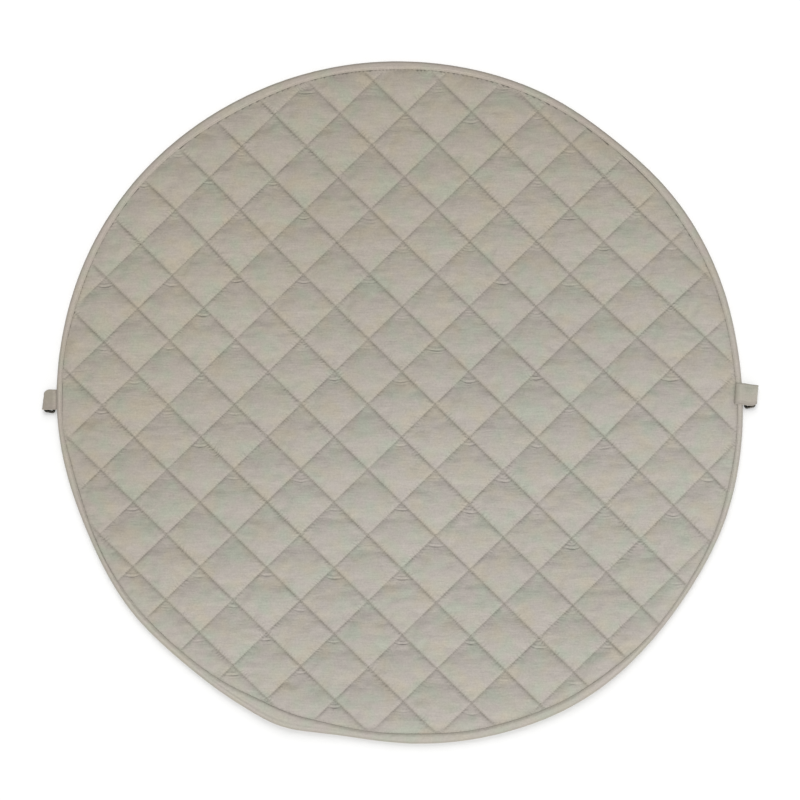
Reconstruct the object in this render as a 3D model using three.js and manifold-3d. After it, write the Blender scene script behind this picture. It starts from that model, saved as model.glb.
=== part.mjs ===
// A round quilted play mat for a baby, one metre across, lying flat with its quilted face up.
// One filled pad of cotton is stitched through in a diamond grid. A folded strip binds its edge all round, and a short
// strip tab on each side holds a rectangular wire ring, which is folded back under the tab.
// Millimetres, +Z up. The underside lies on Z = 0 and the Z axis goes through the middle of the mat. Angles are degrees
// anticlockwise from +X, seen from above.

import * as THREE from "three";
import { mergeVertices } from "three/addons/utils/BufferGeometryUtils.js";
import Module from "manifold-3d";

// The bound edge
const MEAN_RADIUS = 500;
const STEPS_ROUND = 120;
// Where the edge stands out from a true circle, or pulls in where out is negative.
const EDGE_WAVES = [
  { towards: 8, spread: 8, out: -2.5 },
  { towards: 51, spread: 8, out: -5 },
  { towards: 78, spread: 16, out: -2 },
  { towards: 148, spread: 20, out: 6 },
  { towards: 203, spread: 9, out: -5.5 },
  { towards: 230, spread: 8, out: -6 },
  { towards: 248, spread: 4.5, out: 7 },
  { towards: 261, spread: 7, out: -7.5 },
  { towards: 302, spread: 12, out: 7.5 },
  { towards: 340, spread: 7, out: 2.5 },
];

// The binding is one strip, folded in a C round the pad's edge.
const BINDING_WIDTH = 12.5;
const BINDING_UNDERSIDE = 12;
const BINDING_CLOTH = 1.35;
// Where more of the binding shows on the face, or less where it has rolled under.
const BINDING_WAVES = [
  { towards: 190, spread: 13, out: -5.5 },
  { towards: 245, spread: 9, out: 4 },
  { towards: 288, spread: 20, out: 1.5 },
];
// Where the edge is propped up off the floor. The first is by the left tab, which is sewn on beneath it.
const EDGE_LIFTS = [
  { towards: 179.4, spread: 5.5, out: 4.3 },
  { towards: 249, spread: 6, out: 2 },
  { towards: 303, spread: 9, out: 1.5 },
];

// The pad's edge inside the binding
const GAP = 0.42;
const TONGUE_BOTTOM = 1.75;
const TONGUE_TOP = 6.7;
const TONGUE_BEVEL = 2.6;
const TONGUE_INSET = 1.7;
const LIFT_REACH = 45;

// The quilting. A row is a line of stitching through the whole pad.
const VALLEY = 6.9;
const CROWN = 13.5;
const ROW_PITCH = 68.3;
const FALLING_ROWS_ANGLE = -44.5;
const RISING_ROWS_ANGLE = 44;
// The rising rows close up towards the top left, by this much for each row counted from the middle, squared.
const RISING_ROWS_CREEP = -0.28;
const RISING_ROWS_SHIFT = -1;
// The first and last row of each direction, counted in squares from the middle. Rows stand at the half squares.
const FALLING_ROWS = { first: -7.5, last: 7.5 };
const RISING_ROWS = { first: -7.5, last: 8.5 };
// Points across one square, from one row of stitching (0) to the next (1).
const SQUARE_STEPS = [0, 0.14, 0.5, 0.86];
const PUFF_SHARPNESS = 2.6;
const PUFF_UNEVENNESS = 0.07;
const RIM_SLOPE = 34;
// Where the finished pad has been pulled out of line, taking the rows with it.
const CLOTH_PULLS = [
  { x: 430, y: 0, reach: 110, alongX: -1, alongY: 9 },
  { x: -313, y: 306, reach: 80, alongX: 4, alongY: 4 },
];

// The tabs. Each is a strip that goes out, round one bar of its ring and back.
const TAB_CLOTH = 1.3;
const TAB_HEM_ROUND = 0.3;
// Out is the way past the mat's edge, up is the middle of the cloth, and from and to are its two edges across. Slant is
// how far out the cloth shifts for each millimetre across, where a ring lies askew.
const LEFT_TAB = {
  towards: 180,
  turn: -3,
  across: 0,
  stations: [
    { out: -11.5, slant: -0.052, up: 1.0, from: -19.3, to: 8 },
    { out: -0.9, slant: -0.052, up: 1.0, from: -19.2, to: 8.4 },
    { out: 0.8, slant: -0.052, up: 3.5, from: -16, to: 8.6 },
    { out: 2.0, slant: -0.052, up: 4.8, from: -12, to: 8.7 },
    { out: 4.3, slant: -0.03, up: 5.4, from: -9.4, to: 8.8 },
    { out: 6.2, slant: 0, up: 4.85, from: -9.2, to: 8.9 },
    { out: 7.5, slant: 0, up: 3.95, from: -9, to: 9 },
    { out: 10.4, slant: 0, up: 2.1, from: -9, to: 9.3 },
    { out: 13.4, slant: 0, up: 0.95, from: -9, to: 9.5 },
    { out: 16.7, slant: 0, up: 0.85, from: -9, to: 9.6 },
    { out: 19.4, slant: 0, up: 1.8, from: -8.4, to: 9.7 },
    { out: 20.6, slant: 0, up: 4.0, from: -7.6, to: 9.7 },
    { out: 19.5, slant: 0, up: 6.2, from: -9.4, to: 9.7 },
    { out: 17.1, slant: 0, up: 7.1, from: -13.6, to: 9.6 },
    { out: 13.8, slant: 0, up: 7.15, from: -17, to: 9.5 },
    { out: 9.5, slant: 0, up: 7.15, from: -18.3, to: 9.3 },
    { out: 3.6, slant: -0.03, up: 7.2, from: -18.8, to: 8.8 },
    { out: 1.0, slant: -0.052, up: 6.2, from: -19, to: 8.6 },
    { out: -0.5, slant: -0.052, up: 4.5, from: -19.1, to: 8.4 },
    { out: -1.75, slant: -0.052, up: 2.75, from: -19.2, to: 8.2 },
    { out: -11.5, slant: -0.052, up: 2.75, from: -19.3, to: 8 },
  ],
  ring: { out: 10.5, across: 0.6, turn: 0, innerBarUp: 2.1, outerBarUp: 3.95 },
};
const RIGHT_TAB = {
  towards: 0,
  turn: -4,
  across: 14.3,
  stations: [
    { out: -12.6, slant: 0, up: 9.75, from: -15.7, to: 14.2 },
    { out: -2, slant: 0, up: 9.75, from: -15.8, to: 14.2 },
    { out: 1, slant: -0.06, up: 8.8, from: -15.9, to: 13 },
    { out: 3.6, slant: -0.12, up: 6.9, from: -15.6, to: 8 },
    { out: 6, slant: -0.158, up: 4.6, from: -15.1, to: 3.6 },
    { out: 8.6, slant: -0.158, up: 2.4, from: -15, to: 3.8 },
    { out: 11.2, slant: -0.158, up: 0.95, from: -15, to: 4 },
    { out: 14.6, slant: -0.158, up: 0.8, from: -14.8, to: 4.4 },
    { out: 18, slant: -0.12, up: 1.7, from: -14, to: 8 },
    { out: 20, slant: 0, up: 4.0, from: -12.4, to: 12.4 },
    { out: 19, slant: 0, up: 6.5, from: -14.2, to: 12.6 },
    { out: 15.8, slant: 0, up: 7.4, from: -16, to: 12.8 },
    { out: 12, slant: 0, up: 7.3, from: -16.8, to: 13 },
    { out: 8, slant: 0, up: 7.8, from: -16.8, to: 13.4 },
    { out: 4.6, slant: 0, up: 9, from: -16.4, to: 13.9 },
    { out: 1.8, slant: 0, up: 10.6, from: -16, to: 14.1 },
    { out: -1.8, slant: 0, up: 11.45, from: -15.8, to: 14.2 },
    { out: -12.6, slant: 0, up: 11.45, from: -15.7, to: 14.2 },
  ],
  ring: { out: 9.4, across: -5.6, turn: 9, innerBarUp: 2.1, outerBarUp: 3.95 },
};

// The rings, of round wire bent to a rectangle and welded shut
const RING_WIRE = 4;
const RING_LENGTH = 29;
const RING_DEPTH = 16.4;
const RING_CORNER = 4.4;
const RING_CORNER_STEPS = 4;
const RING_SIDES = 8;

const COTTON = { color: 0xb3ab9b, roughness: 0.92, metalness: 0 };
const BINDING_COTTON = { color: 0xaea495, roughness: 0.9, metalness: 0 };
const DARK_METAL = { color: 0x2b2a29, roughness: 0.32, metalness: 0.9 };

const wasm = await Module();
wasm.setup();

const radians = THREE.MathUtils.degToRad;

// The sum of the rows' bumps at an angle, where each fades out on both sides of the angle that it stands at.
function wavesAt(angle, rows) {
  return rows.reduce((sum, row) => {
    const away = THREE.MathUtils.euclideanModulo(angle - row.towards + 180, 360) - 180;
    return sum + row.out * Math.exp(-0.5 * (away / row.spread) ** 2);
  }, 0);
}

const edgeRadius = (angle) => MEAN_RADIUS + wavesAt(angle, EDGE_WAVES);
const bindingShown = (angle) => BINDING_WIDTH + wavesAt(angle, BINDING_WAVES);
const edgeLift = (angle) => wavesAt(angle, EDGE_LIFTS);

// A closed geometry through a list of sections, each a list of points in the same order. A looped sweep joins its last
// section to its first, and an open one gets a flat cap at each end.
function sweptGeometry(sections, looped) {
  const points = sections.flat();
  const around = sections[0].length;
  const faces = [];
  const spans = looped ? sections.length : sections.length - 1;
  for (let s = 0; s < spans; s++) {
    const here = s * around;
    const next = ((s + 1) % sections.length) * around;
    for (let i = 0; i < around; i++) {
      const j = (i + 1) % around;
      faces.push(here + i, here + j, next + j, here + i, next + j, next + i);
    }
  }
  if (!looped) {
    const last = (sections.length - 1) * around;
    for (let i = 1; i < around - 1; i++) {
      faces.push(0, i + 1, i);
      faces.push(last, last + i, last + i + 1);
    }
  }
  const geometry = new THREE.BufferGeometry().setFromPoints(points);
  geometry.setIndex(faces);
  return geometry;
}

function solidFrom(geometry) {
  const bare = geometry.clone();
  bare.deleteAttribute("normal");
  bare.deleteAttribute("uv");
  const merged = mergeVertices(bare, 1e-4);
  return new wasm.Manifold(
    new wasm.Mesh({
      numProp: 3,
      vertProperties: new Float32Array(merged.attributes.position.array),
      triVerts: new Uint32Array(merged.index.array),
    }),
  );
}

function geometryFrom(solid) {
  const mesh = solid.getMesh();
  const geometry = new THREE.BufferGeometry();
  geometry.setAttribute("position", new THREE.BufferAttribute(new Float32Array(mesh.vertProperties), 3));
  geometry.setIndex(new THREE.BufferAttribute(new Uint32Array(mesh.triVerts), 1));
  return geometry;
}

function meshOf(name, geometry, look) {
  const drawn = geometry.toNonIndexed();
  drawn.computeVertexNormals();
  const mesh = new THREE.Mesh(drawn, new THREE.MeshStandardMaterial(look));
  mesh.name = name;
  return mesh;
}

// A ring that follows the uneven edge. Its profile is a list of [inward from the edge, height] at each angle.
function edgeRing(profileAt) {
  const sections = [];
  for (let step = 0; step < STEPS_ROUND; step++) {
    const angle = (step * 360) / STEPS_ROUND;
    const radius = edgeRadius(angle);
    const across = new THREE.Vector2(Math.cos(radians(angle)), Math.sin(radians(angle)));
    sections.push(
      profileAt(angle).map(
        ([inward, height]) =>
          new THREE.Vector3(across.x * (radius - inward), across.y * (radius - inward), height),
      ),
    );
  }
  return sweptGeometry(sections, true);
}

// The point of the pad where two rows cross. Both are counted in squares from the middle.
function rowCrossing(fallingRow, risingRow) {
  const falling = radians(FALLING_ROWS_ANGLE + 90);
  const rising = radians(RISING_ROWS_ANGLE + 90);
  const alongFalling = ROW_PITCH * fallingRow;
  const alongRising = RISING_ROWS_SHIFT + ROW_PITCH * risingRow + RISING_ROWS_CREEP * risingRow ** 2;
  const spread = Math.sin(rising - falling);
  const point = new THREE.Vector2(
    (alongFalling * Math.sin(rising) - alongRising * Math.sin(falling)) / spread,
    (alongRising * Math.cos(falling) - alongFalling * Math.cos(rising)) / spread,
  );
  const moved = point.clone();
  for (const pull of CLOTH_PULLS) {
    const away = Math.hypot(point.x - pull.x, point.y - pull.y) / pull.reach;
    const share = Math.exp(-0.5 * away ** 2);
    moved.x += pull.alongX * share;
    moved.y += pull.alongY * share;
  }
  return moved;
}

// How high a puff stands between two rows of stitching, from 0 on the stitches to 1 half way.
const puffAt = (part) => 1 - Math.abs(2 * part - 1) ** PUFF_SHARPNESS;

// The height of the quilted face at a crossing, or at a part of the way from it to the next one.
function faceHeight(point, fallingSquare, fallingPart, risingSquare, risingPart) {
  const angle = THREE.MathUtils.radToDeg(Math.atan2(point.y, point.x));
  const inward = edgeRadius(angle) - bindingShown(angle) - point.length();
  const rim = THREE.MathUtils.clamp(inward / RIM_SLOPE, 0, 1);
  const rimShare = 1 - (1 - rim) ** 2;
  const lumps = 1 + PUFF_UNEVENNESS * Math.sin(12.9 * fallingSquare + 7.3 * risingSquare);
  const liftShare = 1 - THREE.MathUtils.smoothstep(inward, 0, LIFT_REACH);
  const puff = puffAt(fallingPart) * puffAt(risingPart) * lumps;
  return VALLEY + (CROWN - VALLEY) * puff * rimShare + edgeLift(angle) * liftShare;
}

// The places of a grid line across the squares: whole squares from the first row, and the part of the next one.
function gridLines({ first, last }) {
  const lines = [];
  for (let square = first; square < last; square++) {
    for (const part of SQUARE_STEPS) lines.push({ square, part });
  }
  lines.push({ square: last, part: 0 });
  return lines;
}

// The quilted slab, square and larger than the mat, with its raised face up and a flat underside.
function quiltedSlab() {
  const fallingLines = gridLines(FALLING_ROWS);
  const risingLines = gridLines(RISING_ROWS);
  const columns = risingLines.length;
  const points = [];
  for (const falling of fallingLines) {
    for (const rising of risingLines) {
      const flat = rowCrossing(falling.square + falling.part, rising.square + rising.part);
      const height = faceHeight(flat, falling.square, falling.part, rising.square, rising.part);
      points.push(new THREE.Vector3(flat.x, flat.y, height));
    }
  }
  const faces = [];
  const rim = [];
  const lastRow = fallingLines.length - 1;
  const lastColumn = columns - 1;
  for (let row = 0; row < lastRow; row++) {
    for (let column = 0; column < lastColumn; column++) {
      const a = row * columns + column;
      const [b, c, d] = [a + columns, a + columns + 1, a + 1];
      // The diagonal runs from the square's nearer corner towards its crown.
      const sameSide = (row % SQUARE_STEPS.length < 2) === (column % SQUARE_STEPS.length < 2);
      if (sameSide) faces.push(a, b, c, a, c, d);
      else faces.push(a, b, d, b, c, d);
    }
  }
  for (let row = 0; row < lastRow; row++) rim.push(row * columns);
  for (let column = 0; column < lastColumn; column++) rim.push(lastRow * columns + column);
  for (let row = lastRow; row > 0; row--) rim.push(row * columns + lastColumn);
  for (let column = lastColumn; column > 0; column--) rim.push(column);
  const underFirst = points.length;
  for (const index of rim) points.push(new THREE.Vector3(points[index].x, points[index].y, 0));
  const underMiddle = points.length;
  points.push(new THREE.Vector3(0, 0, 0));
  rim.forEach((top, i) => {
    const next = (i + 1) % rim.length;
    faces.push(top, underFirst + i, rim[next], rim[next], underFirst + i, underFirst + next);
    faces.push(underFirst + next, underFirst + i, underMiddle);
  });
  const geometry = new THREE.BufferGeometry().setFromPoints(points);
  geometry.setIndex(faces);
  return geometry;
}

// What is cut off the slab all round, so that its edge is a thin tongue for the binding to fold over.
function tongueCutter() {
  const farOut = -320;
  const farUp = 60;
  return edgeRing((angle) => {
    const lift = edgeLift(angle);
    const above = bindingShown(angle) + GAP;
    const below = BINDING_UNDERSIDE + GAP;
    const bevel = TONGUE_INSET + TONGUE_BEVEL;
    return [
      [farOut, farUp],
      [farOut, -farUp],
      [below, -farUp],
      [below, TONGUE_BOTTOM + lift],
      [bevel, TONGUE_BOTTOM + lift],
      [TONGUE_INSET, TONGUE_BOTTOM + 1.8 + lift],
      [TONGUE_INSET, TONGUE_TOP - 1.8 + lift],
      [bevel, TONGUE_TOP + lift],
      [above, TONGUE_TOP + lift],
      [above, farUp],
    ];
  });
}

// The binding: inside it follows the tongue at a small gap, and outside it is the cloth's thickness further on.
function bindingGeometry() {
  return edgeRing((angle) => {
    const lift = edgeLift(angle);
    const shown = bindingShown(angle);
    const bevel = TONGUE_INSET + TONGUE_BEVEL;
    const insideTop = TONGUE_TOP + GAP;
    const insideBottom = TONGUE_BOTTOM - GAP;
    return [
      [shown, insideTop + BINDING_CLOTH - 0.3],
      [shown - 3, insideTop + BINDING_CLOTH + 0.2],
      [bevel, insideTop + BINDING_CLOTH + 0.2],
      [1.3, insideTop + BINDING_CLOTH - 1.1],
      [0, TONGUE_TOP - 1.5],
      [0, TONGUE_BOTTOM + 1.5],
      [1.3, insideBottom - BINDING_CLOTH + 1.2],
      [bevel, insideBottom - BINDING_CLOTH],
      [BINDING_UNDERSIDE, insideBottom - BINDING_CLOTH],
      [BINDING_UNDERSIDE, insideBottom],
      [bevel, insideBottom],
      [BINDING_CLOTH, TONGUE_BOTTOM + 1.65],
      [BINDING_CLOTH, TONGUE_TOP - 1.65],
      [bevel, insideTop],
      [shown, insideTop],
    ].map(([inward, height]) => [inward, height + lift]);
  });
}

// The flat section of a tab's cloth at one station, square to the way the strip runs.
function tabSection(stations, index) {
  const here = stations[index];
  const before = stations[Math.max(index - 1, 0)];
  const after = stations[Math.min(index + 1, stations.length - 1)];
  const run = new THREE.Vector2(after.out - before.out, after.up - before.up).normalize();
  const half = TAB_CLOTH / 2;
  const side = { out: -run.y * half, up: run.x * half };
  const corner = (sign, across) =>
    new THREE.Vector3(here.out + here.slant * across + sign * side.out, across, here.up + sign * side.up);
  return [
    corner(1, here.from + TAB_HEM_ROUND),
    corner(0, here.from),
    corner(-1, here.from + TAB_HEM_ROUND),
    corner(-1, here.to - TAB_HEM_ROUND),
    corner(0, here.to),
    corner(1, here.to - TAB_HEM_ROUND),
  ];
}

function tabGeometry(tab) {
  return sweptGeometry(
    tab.stations.map((station, index) => tabSection(tab.stations, index)),
    false,
  );
}

// The middle line of a ring's wire: a rectangle with round corners, long across the tab, as points with the way out.
function ringMiddleLine() {
  const long = (RING_LENGTH - RING_WIRE) / 2 - RING_CORNER;
  const deep = (RING_DEPTH - RING_WIRE) / 2 - RING_CORNER;
  const corners = [
    { out: deep, across: long, from: 0 },
    { out: -deep, across: long, from: 90 },
    { out: -deep, across: -long, from: 180 },
    { out: deep, across: -long, from: 270 },
  ];
  return corners.flatMap((corner) =>
    Array.from({ length: RING_CORNER_STEPS + 1 }, (_, step) => {
      const angle = radians(corner.from + (90 * step) / RING_CORNER_STEPS);
      const away = new THREE.Vector3(Math.cos(angle), Math.sin(angle), 0);
      const at = new THREE.Vector3(corner.out, corner.across, 0).addScaledVector(away, RING_CORNER);
      return { at, away };
    }),
  );
}

function ringGeometry() {
  const sections = ringMiddleLine().map(({ at, away }) =>
    Array.from({ length: RING_SIDES }, (_, side) => {
      const angle = (-2 * Math.PI * (side + 0.5)) / RING_SIDES;
      const offset = away.clone().multiplyScalar(Math.cos(angle) * (RING_WIRE / 2));
      return at.clone().add(offset).setZ((Math.sin(angle) * RING_WIRE) / 2);
    }),
  );
  return sweptGeometry(sections, true);
}

// A tab and its ring, in a group that is turned to the tab's side of the mat and moved out to the edge there.
function sideGroup(tab, tabName, ringName) {
  const tabMesh = meshOf(tabName, tabGeometry(tab), BINDING_COTTON);
  const ringMesh = meshOf(ringName, ringGeometry(), DARK_METAL);
  const between = RING_DEPTH - RING_WIRE;
  const tilt = Math.asin((tab.ring.outerBarUp - tab.ring.innerBarUp) / between);
  ringMesh.rotation.set(0, -tilt, radians(tab.ring.turn), "ZYX");
  ringMesh.position.set(
    tab.ring.out,
    tab.ring.across,
    (tab.ring.innerBarUp + tab.ring.outerBarUp) / 2,
  );
  const group = new THREE.Group();
  group.add(tabMesh, ringMesh);
  group.rotation.z = radians(tab.towards + tab.turn);
  const edge = edgeRadius(tab.towards);
  group.position.set(edge * Math.cos(radians(tab.towards)), tab.across, 0);
  return group;
}

const pad = solidFrom(quiltedSlab()).subtract(solidFrom(tongueCutter()));

const group = new THREE.Group();
group.add(meshOf("quilted_pad", geometryFrom(pad), COTTON));
group.add(meshOf("edge_binding", bindingGeometry(), BINDING_COTTON));
group.add(sideGroup(LEFT_TAB, "tab_left", "ring_left"));
group.add(sideGroup(RIGHT_TAB, "tab_right", "ring_right"));

export default group;
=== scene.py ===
"""A round quilted play mat for a baby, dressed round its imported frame.

The pad is stitched through in a diamond grid, a folded strip binds its edge, and a short tab on each side
holds a rectangular wire ring. Sizes in the classes are millimetres and degrees anticlockwise from +X, seen
from above, and every mesh is written in metres.
"""

import logging
import math
from dataclasses import dataclass, field
from enum import Enum
from typing import Any, Callable, Sequence

import bpy
import numpy as np
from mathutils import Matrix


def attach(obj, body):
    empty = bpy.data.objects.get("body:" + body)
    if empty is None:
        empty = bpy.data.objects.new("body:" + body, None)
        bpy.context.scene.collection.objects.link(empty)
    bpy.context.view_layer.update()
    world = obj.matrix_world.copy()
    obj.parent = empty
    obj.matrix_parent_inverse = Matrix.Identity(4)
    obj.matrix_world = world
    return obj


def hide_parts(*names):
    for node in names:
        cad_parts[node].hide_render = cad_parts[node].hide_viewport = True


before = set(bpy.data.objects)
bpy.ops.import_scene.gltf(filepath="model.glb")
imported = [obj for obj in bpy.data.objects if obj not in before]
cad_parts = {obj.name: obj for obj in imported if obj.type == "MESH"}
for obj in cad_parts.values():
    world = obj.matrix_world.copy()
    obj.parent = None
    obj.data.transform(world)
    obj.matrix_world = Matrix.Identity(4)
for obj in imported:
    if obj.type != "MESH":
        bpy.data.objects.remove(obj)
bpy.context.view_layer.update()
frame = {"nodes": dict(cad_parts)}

MM = 0.001
BODY = "root"
LOG = logging.getLogger("play_mat")

# Where a grid is cut off: points this near the line move on to it, which leaves them just inside, and points
# merge that agree to this many steps in a millimetre.
NEAR_CUT = 0.45
JUST_INSIDE = 1e-7
MERGE_STEPS = 500

Array = np.ndarray
Socket = bpy.types.NodeSocket


# Plain numbers

def bell(distance: Array, reach: float) -> Array:
    """A bell curve: one where the distance is nothing, and fading over the reach."""
    return np.exp(-0.5 * (distance / reach) ** 2)


def smooth_step(value: Array) -> Array:
    """Zero below nothing, one above one, and a smooth rise between them."""
    part = np.clip(value, 0.0, 1.0)
    return part * part * (3.0 - 2.0 * part)


def drift(u: Array, v: Array, seed: int) -> Array:
    """Smooth seeded noise between about -1 and 1.

    Random heights stand at whole numbers, and a smooth step blends the four round each place.

    Args:
        u: first coordinate, one unit to a bump.
        v: second coordinate, one unit to a bump.
        seed: which table of heights is drawn.

    Returns:
        The noise, in the shape of u and v together.
    """
    size = 128
    table = np.random.default_rng(seed).uniform(-1.0, 1.0, (size, size))
    low_u = np.floor(u)
    low_v = np.floor(v)
    share_u = smooth_step(u - low_u)
    share_v = smooth_step(v - low_v)
    here_u = low_u.astype(int) % size
    here_v = low_v.astype(int) % size
    next_u = (here_u + 1) % size
    next_v = (here_v + 1) % size
    near = table[here_u, here_v] * (1 - share_u) + table[next_u, here_v] * share_u
    far = table[here_u, next_v] * (1 - share_u) + table[next_u, next_v] * share_u
    return near * (1 - share_v) + far * share_v


@dataclass(frozen=True)
class Mark:
    """A bell curve over a distance: how strong it is, where its middle lies, and its reach."""

    strength: float
    middle: float
    reach: float

    def over(self, distance: Array) -> Array:
        """The mark's strength at each distance."""
        return self.strength * bell(distance - self.middle, self.reach)


@dataclass(frozen=True)
class Grain:
    """Seeded noise with bumps of one length along and another across."""

    along: float
    across: float
    seed: int

    def at(self, along: Array, across: Array) -> Array:
        """The noise at each place."""
        return drift(along / self.along, across / self.across, self.seed)


def unit(vectors: Array) -> Array:
    """The same vectors at length one."""
    return vectors / np.maximum(np.linalg.norm(vectors, axis=-1, keepdims=True), 1e-12)


# Meshes

@dataclass
class Surface:
    """Points with faces over them: one array of faces for each number of corners.

    Where the piece has one, each face's corners also have a place in the cloth.
    """

    points: Array
    faces: list[Array]
    places: list[Array] = field(default_factory=list)

    def piece(self, name: str) -> bpy.types.Object:
        """Makes the object, in metres, smooth, with its UV map in metres along and across the cloth.

        Args:
            name: the object's name.

        Returns:
            The object, at the origin.
        """
        mesh = bpy.data.meshes.new(name)
        corners = np.concatenate([faces.ravel() for faces in self.faces]).astype(np.int32)
        sizes = np.concatenate([np.full(len(faces), faces.shape[1]) for faces in self.faces])
        starts = np.concatenate([[0], np.cumsum(sizes)[:-1]]).astype(np.int32)
        mesh.vertices.add(len(self.points))
        mesh.vertices.foreach_set("co", (self.points * MM).astype(np.float32).ravel())
        mesh.loops.add(len(corners))
        mesh.loops.foreach_set("vertex_index", corners)
        mesh.polygons.add(len(sizes))
        mesh.polygons.foreach_set("loop_start", starts)
        mesh.polygons.foreach_set("use_smooth", np.ones(len(sizes), dtype=bool))
        mesh.update(calc_edges=True)
        if self.places:
            layer = mesh.uv_layers.new(name="along_the_cloth")
            spots = np.concatenate([places.reshape(-1, 2) for places in self.places])
            layer.data.foreach_set("uv", (spots * MM).astype(np.float32).ravel())
        made = bpy.data.objects.new(name, mesh)
        bpy.context.scene.collection.objects.link(made)
        return made


def mark_points(piece: bpy.types.Object, name: str, values: Array) -> None:
    """Keeps one number or one vector for each point of a piece, for its material to read."""
    single = values.ndim == 1
    attribute = piece.data.attributes.new(name, "FLOAT" if single else "FLOAT_VECTOR", "POINT")
    attribute.data.foreach_set("value" if single else "vector", values.astype(np.float32).ravel())


def loft_faces(rows: int, columns: int, loop_rows: bool, loop_columns: bool) -> tuple[Array, Array]:
    """Squares over a grid of points that is numbered row by row.

    Args:
        rows: number of rows.
        columns: number of points in a row.
        loop_rows: whether the last row joins the first.
        loop_columns: whether a row's last point joins its first.

    Returns:
        The faces, and each corner's row and column, which run on past the end where the grid loops.
    """
    row = np.arange(rows if loop_rows else rows - 1)
    column = np.arange(columns if loop_columns else columns - 1)
    r, c = (grid.ravel() for grid in np.meshgrid(row, column, indexing="ij"))
    corner_rows = np.stack([r, r + 1, r + 1, r], axis=1)
    corner_columns = np.stack([c, c, c + 1, c + 1], axis=1)
    faces = (corner_rows % rows) * columns + corner_columns % columns
    return faces, np.stack([corner_rows, corner_columns], axis=-1)


def zip_loops(first: Array, first_turn: Array, second: Array, second_turn: Array) -> Array:
    """Triangles between two closed loops of points round the same middle.

    Both loops' points are put in one order by the way they turn, and each makes a triangle with the point
    before it in its own loop and the last point before it in the other.

    Args:
        first: the inner loop's point numbers, in the order of their turn.
        first_turn: their turns, rising.
        second: the outer loop's point numbers.
        second_turn: their turns, rising.

    Returns:
        The triangles, seen anticlockwise from above.
    """
    turns = np.concatenate([first_turn, second_turn])
    of_second = np.concatenate([np.zeros(len(first), bool), np.ones(len(second), bool)])
    order = np.argsort(turns, kind="stable")
    of_second = of_second[order]
    last_first = (np.cumsum(~of_second) - 1) % len(first)
    last_second = (np.cumsum(of_second) - 1) % len(second)
    inner = first[last_first]
    outer = second[last_second]
    inner_before = first[(last_first - 1) % len(first)]
    outer_before = second[(last_second - 1) % len(second)]
    from_outer = np.stack([inner, outer_before, outer], axis=1)
    from_inner = np.stack([inner_before, outer, inner], axis=1)
    return np.where(of_second[:, None], from_outer, from_inner)


# The mat's plan

@dataclass(frozen=True)
class Wave:
    """A bump of the edge, which fades out on both sides of where it stands."""

    towards: float
    spread: float
    out: float


def waves_at(angle: Array, waves: Sequence[Wave]) -> Array:
    """The sum of the waves at each angle: each one's height times a bell curve of the short way to it."""
    total = np.zeros_like(angle)
    for wave in waves:
        away = (angle - wave.towards + 180.0) % 360.0 - 180.0
        total += wave.out * bell(away, wave.spread)
    return total


@dataclass(frozen=True)
class EdgeShape:
    """The mat's uneven outline, how much binding shows on the face, and where the edge is propped up."""

    mean_radius: float = 500.0
    waves: tuple[Wave, ...] = (
        Wave(8, 8, -2.5),
        Wave(51, 8, -5),
        Wave(78, 16, -2),
        Wave(148, 20, 6),
        Wave(203, 9, -5.5),
        Wave(230, 8, -6),
        Wave(245.5, 3.8, -3.6),
        Wave(248, 4.5, 7),
        Wave(261, 7, -7.5),
        Wave(273, 6, -1.4),
        Wave(302, 12, 7.5),
        Wave(340, 7, 2.5),
    )
    band: float = 10.8
    band_waves: tuple[Wave, ...] = (
        Wave(4, 12, -1.4),
        Wave(34, 6, 2.4),
        Wave(92, 5, 1.5),
        Wave(119, 9, 3.4),
        Wave(172, 4.5, -3.2),
        Wave(184, 3.5, -3.6),
        Wave(206, 6, -3.6),
        Wave(248, 7, 12.3),
        Wave(273, 5, 3.4),
        Wave(291, 10, 3.2),
        Wave(307, 5, 2.2),
        Wave(320, 9, -3.4),
        Wave(336, 6, -2.4),
        Wave(354, 6, -1.4),
    )
    lifts: tuple[Wave, ...] = (Wave(179.4, 5.5, 4.3), Wave(249, 6, 2), Wave(303, 9, 1.5))
    loose: tuple[Wave, ...] = (Wave(181, 5, 0.5), Wave(130, 20, 0.7), Wave(290, 22, -0.5))
    pull: float = 0.8
    uneven_pull: float = 0.35
    pull_grain: Grain = Grain(45, 1, 45)

    def radius(self, angle: Array) -> Array:
        """How far the edge is from the middle."""
        return self.mean_radius + waves_at(angle, self.waves)

    def band_shown(self, angle: Array) -> Array:
        """How much of the binding shows on the face."""
        return self.band + waves_at(angle, self.band_waves)

    def lift(self, angle: Array) -> Array:
        """How far the edge stands up off the floor."""
        return waves_at(angle, self.lifts)

    def pulled(self, angle: Array) -> Array:
        """How tightly the binding is stitched: seeded noise round a mean, and less where it is loose."""
        along = np.radians(angle) * self.mean_radius
        uneven = self.uneven_pull * self.pull_grain.at(along, np.full_like(along, 5.0))
        return (self.pull + uneven) * (1 - waves_at(angle, self.loose))

    def turn_of(self, x: Array, y: Array) -> Array:
        """The angle at which a point lies."""
        return np.degrees(np.arctan2(y, x))

    def inward(self, x: Array, y: Array) -> Array:
        """How far a point lies inside the edge."""
        return self.radius(self.turn_of(x, y)) - np.hypot(x, y)

    def points(self, angle: Array, inward: Array, height: Array) -> Array:
        """Points at an angle, a distance inside the edge and a height."""
        distance = self.radius(angle) - inward
        way = np.radians(angle)
        return np.stack(np.broadcast_arrays(distance * np.cos(way), distance * np.sin(way), height), axis=-1)


@dataclass(frozen=True)
class Pull:
    """A place where the finished pad has been pulled out of line, and takes its rows with it."""

    x: float
    y: float
    reach: float
    along_x: float
    along_y: float


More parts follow.
